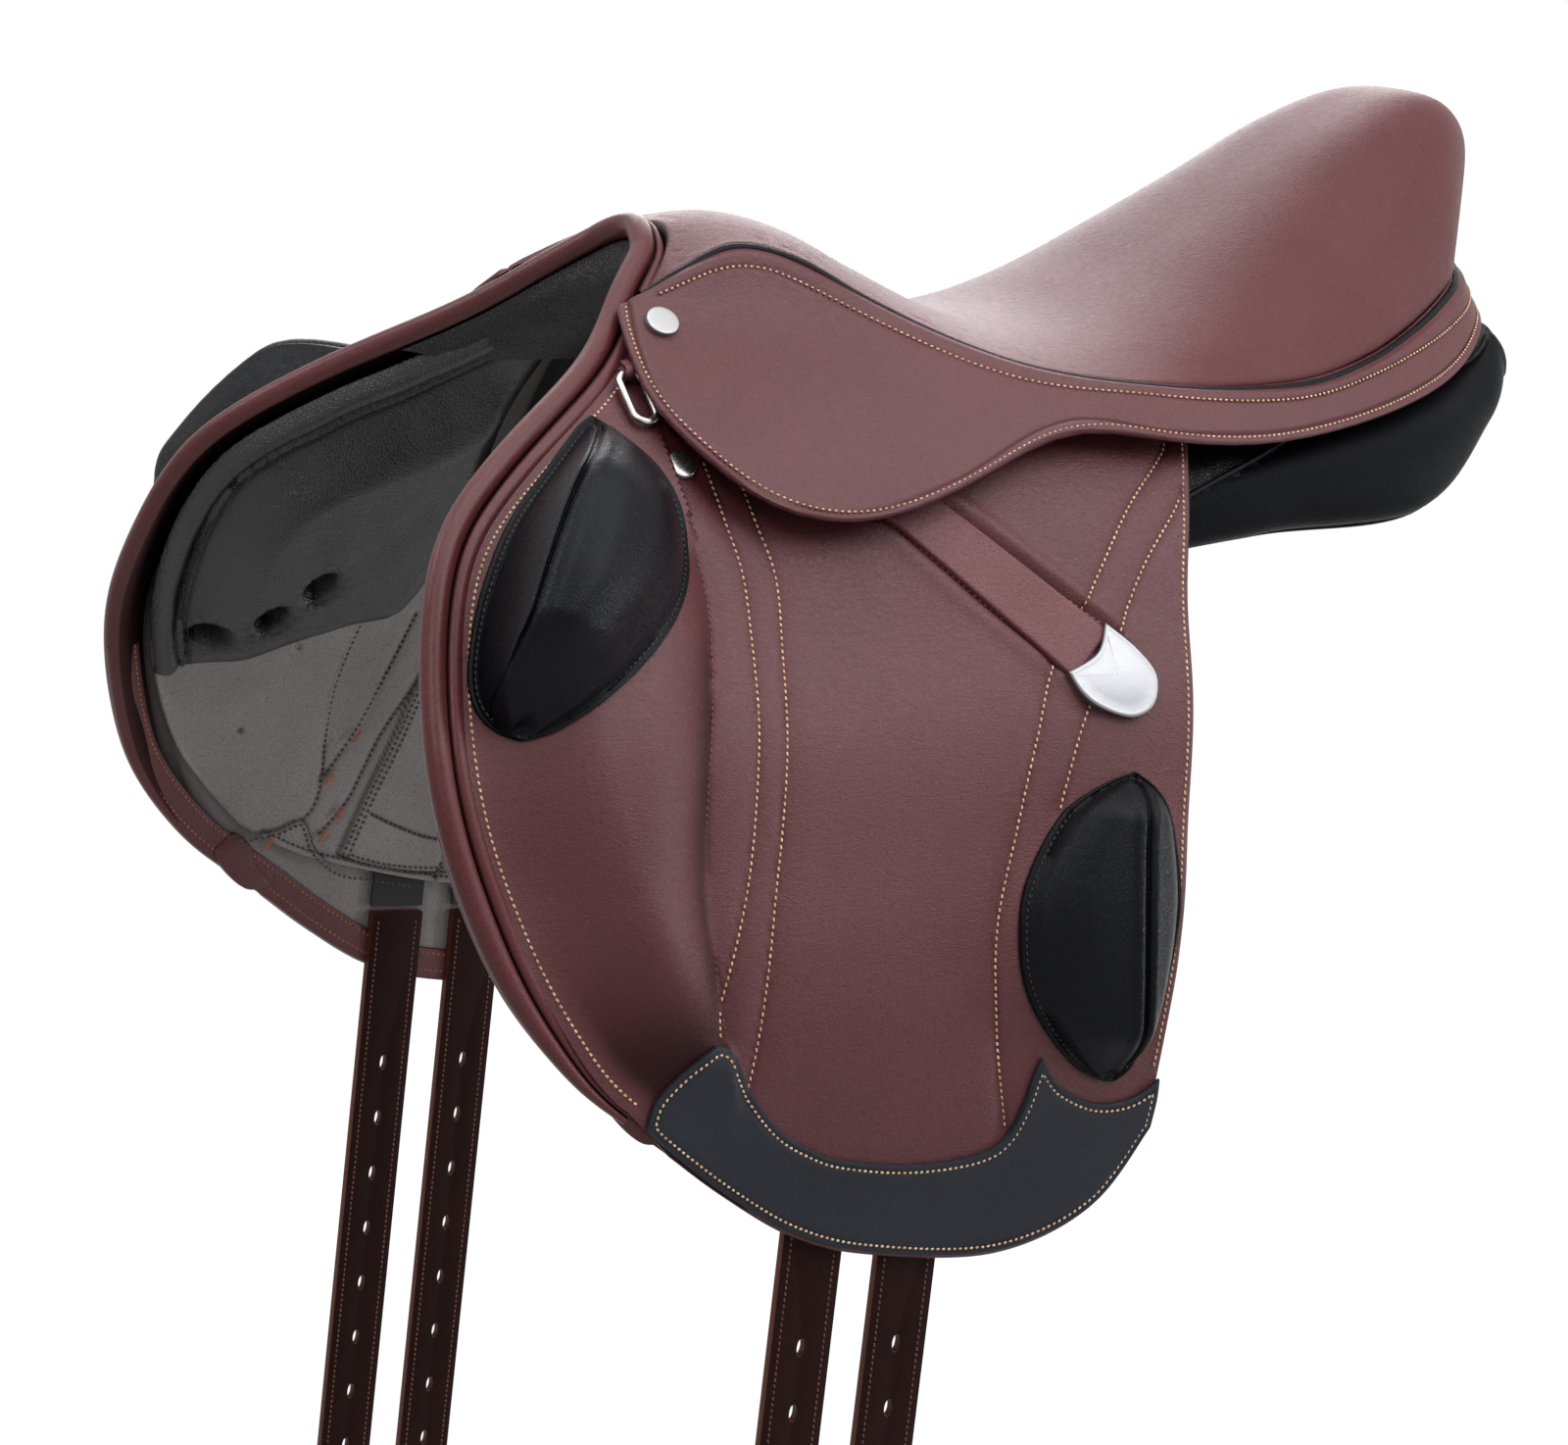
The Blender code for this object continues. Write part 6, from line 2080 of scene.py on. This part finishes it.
    def make_web(self, side: Side, place: str) -> None:
        """Builds the web between the flap and its lining that carries one strap.

        Args:
            side: the saddle's side.
            place: front or rear.
        """
        forward = self.spacing / 2 if place == "front" else -self.spacing / 2
        x, z = self.top + forward * np.array((1, math.tan(self.lean)))
        half, low = self.width / 2, z + self.thickness / 2 + 0.6 * MM
        shift = math.tan(self.lean) * (self.web_top - low)
        tilt = half * math.tan(self.lean)
        front = np.array([(x + half - shift, self.web_top), (x + half, low + tilt)])
        rear = np.array([(x - half - shift, self.web_top), (x - half, low - tilt)])
        gx, gz = Patch(front, rear, np.array([front[0], rear[0]]), np.array([front[1], rear[1]]),
                       4 * MM).grid()
        middle = -0.3 * MM - self.thickness / 2
        levels = [middle + half_web + 0 * gx for half_web in
                  (-self.web_thickness / 2, self.web_thickness / 2)]
        name = f"{place}_girth_web"
        lay(name + "_tape", flank_sheet(gx, gz, *levels), TAPE, (name,), side)


@dataclass
class Fittings:
    """One side's nail, stud, ring with its chape, and the keeper with its metal end."""

    side: Side
    nail_radius: float = 7.5 * MM
    nail_place: Array = table(186, 98)
    stud_place: Array = table(199, 44)
    stud_radius: float = 6.5 * MM
    height: float = 3 * MM
    ring_place: Array = table(208.5, 67.5)
    ring_length: float = 30 * MM
    ring_width: float = 14 * MM
    wire: float = 3.2 * MM
    ring_level: float = 8.2 * MM
    chape_width: float = 4 * MM
    chape_thickness: float = 1.6 * MM
    chape_gap: float = 0.6 * MM
    chape_tail: float = 5 * MM
    tip: Array = table(
        (27, -25), (34, -36.5), (50, -43), (46, -51), (38, -57.5), (24, -62), (13, -58), (8.5, -47),
        (15, -36))
    tip_corners: tuple = (0, 2)
    tip_rim: tuple = ((0, -1), (0, 3), (0.15, 3.5), (0.5, 3.85), (1, 4), (1.6, 3.92), (2.2, 3.8))
    band_thickness: float = 2.0 * MM
    band_left: Array = table((100, 36), (81, 21), (25, -28))
    band_right: Array = table((132, 34), (109, 17), (47, -45))

    def make(self, skirt: Skirt) -> None:
        """Builds all of them.

        Args:
            skirt: the side's skirt, that the nail holds.
        """
        away = np.linalg.norm(skirt.inner[..., [0, 2]] - self.nail_place, axis=-1).argmin()
        out = skirt.outs.reshape(-1, 3)[away]
        turn = Vector(out).to_track_quat("Z", "Y").to_matrix().to_4x4()
        turn.translation = Vector(skirt.inner.reshape(-1, 3)[away] + out * (skirt.thickness - 0.3 * MM))
        self.disc("nail", turn, self.nail_radius, self.height, 0.35 * MM, NAIL)
        stud = flank_frame(*self.stud_place, LAYERS.flap + 0.3 * MM)
        self.disc("stud", stud, self.stud_radius, self.height, 1.2 * MM, NICKEL)
        self.make_ring()
        self.make_keeper()

    def disc(self, name: str, matrix: Matrix, radius: float, height: float, dome: float,
             finish: Metal) -> None:
        """Builds a round head with a low dome.

        Args:
            name: which node it stands for, without the side.
            matrix: where its foot stands.
            radius: its radius.
            height: how high it stands.
            dome: how far its middle stands above its rim.
            finish: what it is finished with.
        """
        deselect()
        bpy.ops.mesh.primitive_uv_sphere_add(segments=48, ring_count=24, radius=1)
        obj = bpy.context.object
        rim_share = 1 - dome / height
        for vertex in obj.data.vertices:
            x, y, z = vertex.co
            flat = math.hypot(x, y)
            fuller = flat ** 0.55 / flat if flat > 1e-6 else 1.0
            level = max(z, 0.0) ** 0.8
            vertex.co = (x * fuller * radius, y * fuller * radius,
                         height * (min(level * 2.2, rim_share) + (1 - rim_share) * level))
        label = self.side.label
        put(obj, f"{label}_{name}_head", matrix, finish, self.side, 60)
        keep(obj, (f"{label}_{name}",))

    def make_ring(self) -> None:
        """Builds the ring and the leather loop that holds it."""
        label = self.side.label
        matrix = flank_frame(*self.ring_place, self.ring_level)
        major = (self.ring_width - self.wire) / 2
        straight = self.ring_length / 2 - self.wire / 2 - major
        deselect()
        bpy.ops.mesh.primitive_torus_add(major_radius=major, minor_radius=self.wire / 2,
                                         major_segments=48, minor_segments=20)
        ring = bpy.context.object
        for vertex in ring.data.vertices:
            if abs(vertex.co.y) > 1e-7:
                vertex.co.y += math.copysign(straight, vertex.co.y)
        put(ring, f"{label}_ring_metal", matrix, NICKEL, self.side, 80)
        keep(ring, (f"{label}_ring",), f"{label}_ring")
        top = straight + major
        inner = self.wire / 2 + self.chape_gap
        turn = np.linspace(-math.pi / 6, 7 * math.pi / 6, 25)
        arc = np.stack([top - inner * np.sin(turn), inner * np.cos(turn)], -1)
        tail = top + self.chape_tail
        line = np.concatenate([[(tail, inner * 0.15)], arc, [(tail, -inner)]])
        way = ways(line)
        off = np.stack([-way[:, 1], way[:, 0]], -1) * self.chape_thickness
        if np.dot(off[12], line[12] - (top, 0)) < 0:
            off = -off
        half = self.chape_width / 2
        rings = []
        for (y, z), (dy, dz) in zip(line, off):
            corners = ((-half, y, z), (half, y, z), (half, y + dy, z + dz), (-half, y + dy, z + dz))
            rings.append([matrix @ Vector(c) for c in corners])
        lay("chape_leather", closed_tube(np.array(rings)), BROWN, ("ring_chape",),
            self.side)

    def make_keeper(self) -> None:
        """Builds the leather band and its metal end."""
        top = np.array([self.band_left[0], self.band_right[0]])
        foot = np.array([self.band_left[-1], self.band_right[-1]])
        x, z = Patch(self.band_left, self.band_right, top, foot, 1.8 * MM).grid()
        e = border(x, z)
        low = LAYERS.flap + 0.1 * MM
        rise = 0.35 * MM * wander(side_view(x, z), 22 * MM, 9.0)
        face = low + self.band_thickness + rise * ease(0, 4 * MM, e) - lip(e, 1.2 * MM)
        skin = flank_sheet(x, z, face, low - 1.0 * MM + 0 * x)
        lay("keeper_leather", skin, KEEPER, ("leather_keeper",), self.side)
        pieces = []
        corners = [*self.tip_corners, self.tip_corners[0] + len(self.tip)]
        ring = np.concatenate([self.tip, self.tip])
        for a, b in zip(corners, corners[1:]):
            part = smooth(ring[a:b + 1], 8)
            pieces.append(along(part, np.linspace(0, 1, 1 + int(lengths(part)[-1] / (1 * MM))))[:-1])
        outline = np.concatenate(pieces)
        way = unit(np.roll(outline, -1, axis=0) - np.roll(outline, 1, axis=0))
        inward = np.stack([-way[:, 1], way[:, 0]], -1)
        centre = outline.mean(axis=0)
        if np.mean(np.sum(inward * (centre - outline), axis=1)) < 0:
            inward = -inward
        base = LAYERS.flap + 0.3 * MM
        rings = [FLANK.place(*(outline + inward * d * MM).T, base + h * MM) for d, h in self.tip_rim]
        rings += [FLANK.place(*(centre + (outline + inward * 2.2 * MM - centre) * s).T,
                              base + (3.8 + 0.5 * (1 - s * s)) * MM) for s in (0.75, 0.45, 0.2, 0.03)]
        lay("keeper_metal", closed_tube(np.array(rings)), SATIN, ("keeper_tip",), self.side,
            smooth_angle=50)


@dataclass
class Channel:
    """The strip that closes the channel between the panels."""

    thickness: float = 3 * MM
    crown: float = 4 * MM
    level: float = 0.72
    clearance: float = 1.2 * MM

    def wall(self, loop: Array, level: float) -> float:
        """How far from the middle plane the panel's inner wall stands.

        Args:
            loop: the panel's section there, as rows of y and z.
            level: the height to look at.

        Returns:
            The distance.
        """
        found = []
        for (y, z), (next_y, next_z) in zip(loop, np.roll(loop, -1, axis=0)):
            if (z - level) * (next_z - level) < 0:
                found.append(y + (next_y - y) * (level - z) / (next_z - z))
        return min(found)

    def make(self, panels: Panels) -> None:
        """Builds the strip.

        Args:
            panels: the panels that it lies between.
        """
        top = []
        for row in smooth(panels.sections, 3)[1:-1]:
            loop = smooth(row[1:].reshape(-1, 2), 2, closed=True)
            level = self.level * loop[:, 1].max() + (1 - self.level) * loop[:, 1].min()
            half = min(self.wall(loop, level), self.wall(loop, level - self.thickness))
            v = np.linspace(-1, 1, 17)
            top.append(np.stack([np.full(17, row[0]), (half - self.clearance) * v,
                                 level + self.crown * (1 - v * v)], -1))
        grid = smooth(np.array(top).reshape(len(top), -1), 4).reshape(-1, 17, 3)
        count = (len(grid) - 1) // BACK_STEP * BACK_STEP + 1
        skin = closed_sheet(grid[:count], grid[:count] - (0, 0, self.thickness))
        lay("channel_cloth", skin, TAPE, ("channel_lining",))


# The studio


@dataclass
class Studio:
    """The camera at the photograph's view, soft lights, and a pale floor."""

    place: tuple = (1.0463, 1.7473, 0.3668)
    look: tuple = (-0.4708, -0.8523, -0.2278)
    up: tuple = (-0.0923, -0.2093, 0.9735)
    lens: float = 101.74
    sensor: float = 36.0
    floor_level: float = -0.612
    light: Colour = (0.965, 0.972, 1.0)

    def camera(self) -> None:
        """Places the camera."""
        data = bpy.data.cameras.new("camera")
        data.lens, data.sensor_width, data.sensor_fit = self.lens, self.sensor, "HORIZONTAL"
        data.clip_start, data.clip_end = 0.05, 60
        camera = link("camera", data)
        back, up = -Vector(self.look).normalized(), Vector(self.up)
        right = up.cross(back).normalized()
        camera.matrix_world = Matrix((right, back.cross(right), back)).transposed().to_4x4()
        camera.location = self.place
        bpy.context.scene.camera = camera

    def lamp(self, name: str, place: tuple, target: tuple, size: tuple, power: float) -> None:
        """Adds one soft light.

        Args:
            name: its name.
            place: where it stands.
            target: what it points at.
            size: its width and height.
            power: its strength in watts.
        """
        data = bpy.data.lights.new(name, "AREA")
        data.shape, data.size, data.size_y, data.energy = "RECTANGLE", *size, power
        data.color = self.light
        lamp = link(name, data)
        lamp.location = place
        lamp.rotation_mode = "QUATERNION"
        way = Vector(target) - Vector(place)
        lamp.rotation_quaternion = way.to_track_quat("-Z", "Y")

    def background_share(self, wiring: Wiring) -> Socket:
        """Tells rays that see the background straight, by reflection or through glass.

        Args:
            wiring: adds nodes to the tree.

        Returns:
            The socket with 1 for them and 0 for others.
        """
        path = wiring.add("LightPath")
        seen = wiring.maths("MAXIMUM", path.outputs["Is Camera Ray"], path.outputs["Is Glossy Ray"])
        return wiring.maths("MAXIMUM", seen, path.outputs["Is Transmission Ray"])

    def world(self) -> None:
        """Makes the background white to the camera, with a plain level of light elsewhere."""
        world = bpy.data.worlds.new("world")
        bpy.context.scene.world = world
        world.use_nodes = True
        wiring = Wiring(world.node_tree)
        strength = wiring.ramp(self.background_share(wiring), 0, 1, 0.07, 1.0)
        wiring.feed(world.node_tree.nodes["Background"], Color=(1, 1, 1, 1), Strength=strength)

    def floor(self) -> None:
        """Lays the pale floor below the straps, which keeps the saddle's shadow."""
        bpy.ops.mesh.primitive_plane_add(size=60, location=(0, 0, self.floor_level))
        floor = bpy.context.object
        floor.name = "studio_floor"
        material = bpy.data.materials.new("pale_floor")
        material.use_nodes = True
        nodes = material.node_tree.nodes
        wiring, shader = Wiring(material.node_tree), nodes["Principled BSDF"]
        wiring.feed(shader, Base_Color=(0.6, 0.6, 0.6, 1), Roughness=0.9)
        glow = wiring.add("Emission", Color=(1, 1, 1, 1), Strength=1.07)
        share = wiring.maths("MULTIPLY", self.background_share(wiring), 0.93)
        mixed = wiring.add("MixShader", _0=share, _1=shader.outputs[0], _2=glow.outputs[0])
        wiring.feed(nodes["Material Output"], Surface=mixed.outputs[0])
        floor.data.materials.append(material)

    def build(self) -> None:
        """Sets up the whole studio."""
        self.camera()
        self.world()
        self.floor()
        middle = (0.03, 0.05, -0.1)
        self.lamp("top", (0.15, 0.20, 1.9), middle, (1.7, 1.5), 29)
        self.lamp("key", (-0.85, 1.25, 1.30), middle, (1.5, 1.4), 35)
        self.lamp("front", (1.4, 1.2, 1.5), middle, (0.24, 0.6), 12)
        self.lamp("front_off", (1.2, -0.7, 1.2), (0.25, -0.2, 0), (0.5, 0.5), 8)
        self.lamp("back", (-0.7, -1.6, 1.2), middle, (1.4, 0.8), 14)
        self.lamp("side", (-1.70, 0.85, -0.30), middle, (0.22, 0.9), 13)
        self.lamp("rim", (-0.95, -1.75, 0.50), middle, (1.3, 0.5), 9)
        bpy.context.scene.view_settings.view_transform = "Standard"


def main() -> None:
    """Builds the studio, and then every piece of the saddle."""
    logging.basicConfig(level=logging.INFO, format="%(message)s")
    for obj in list(bpy.data.objects):
        bpy.data.objects.remove(obj)
    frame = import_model()
    deselect()
    Studio().build()
    joints = {joint["name"]: joint for joint in frame["record"]["behaviour"]["joints"]}
    ROLL.make()
    SEAT.make()
    Facing().make()
    for side in Side:
        Flap(side).make()
        make_blocks(side)
        Lining(side).make()
        Panels(side).make()
        skirt = Skirt(side)
        skirt.make(joints[f"{side.label}_skirt_lift"])
        Fittings(side).make(skirt)
    Channel().make(Panels(Side.NEAR))
    Straps().make(joints)
    plain = {"steel": STEEL, "nickel": NICKEL, "tree_moulding": TREE, "brown_leather": BROWN,
             "black_leather": BLACK, "strap_leather": STRAP, "lining": LINING, "webbing": TAPE}
    for part in frame["record"]["subparts"]:
        finish = plain.get(part["material_slot"])
        obj = frame["nodes"][part["node"]]
        if finish and obj.material_slots:
            obj.material_slots[0].material = finish.material()


if __name__ == "__main__":
    main()
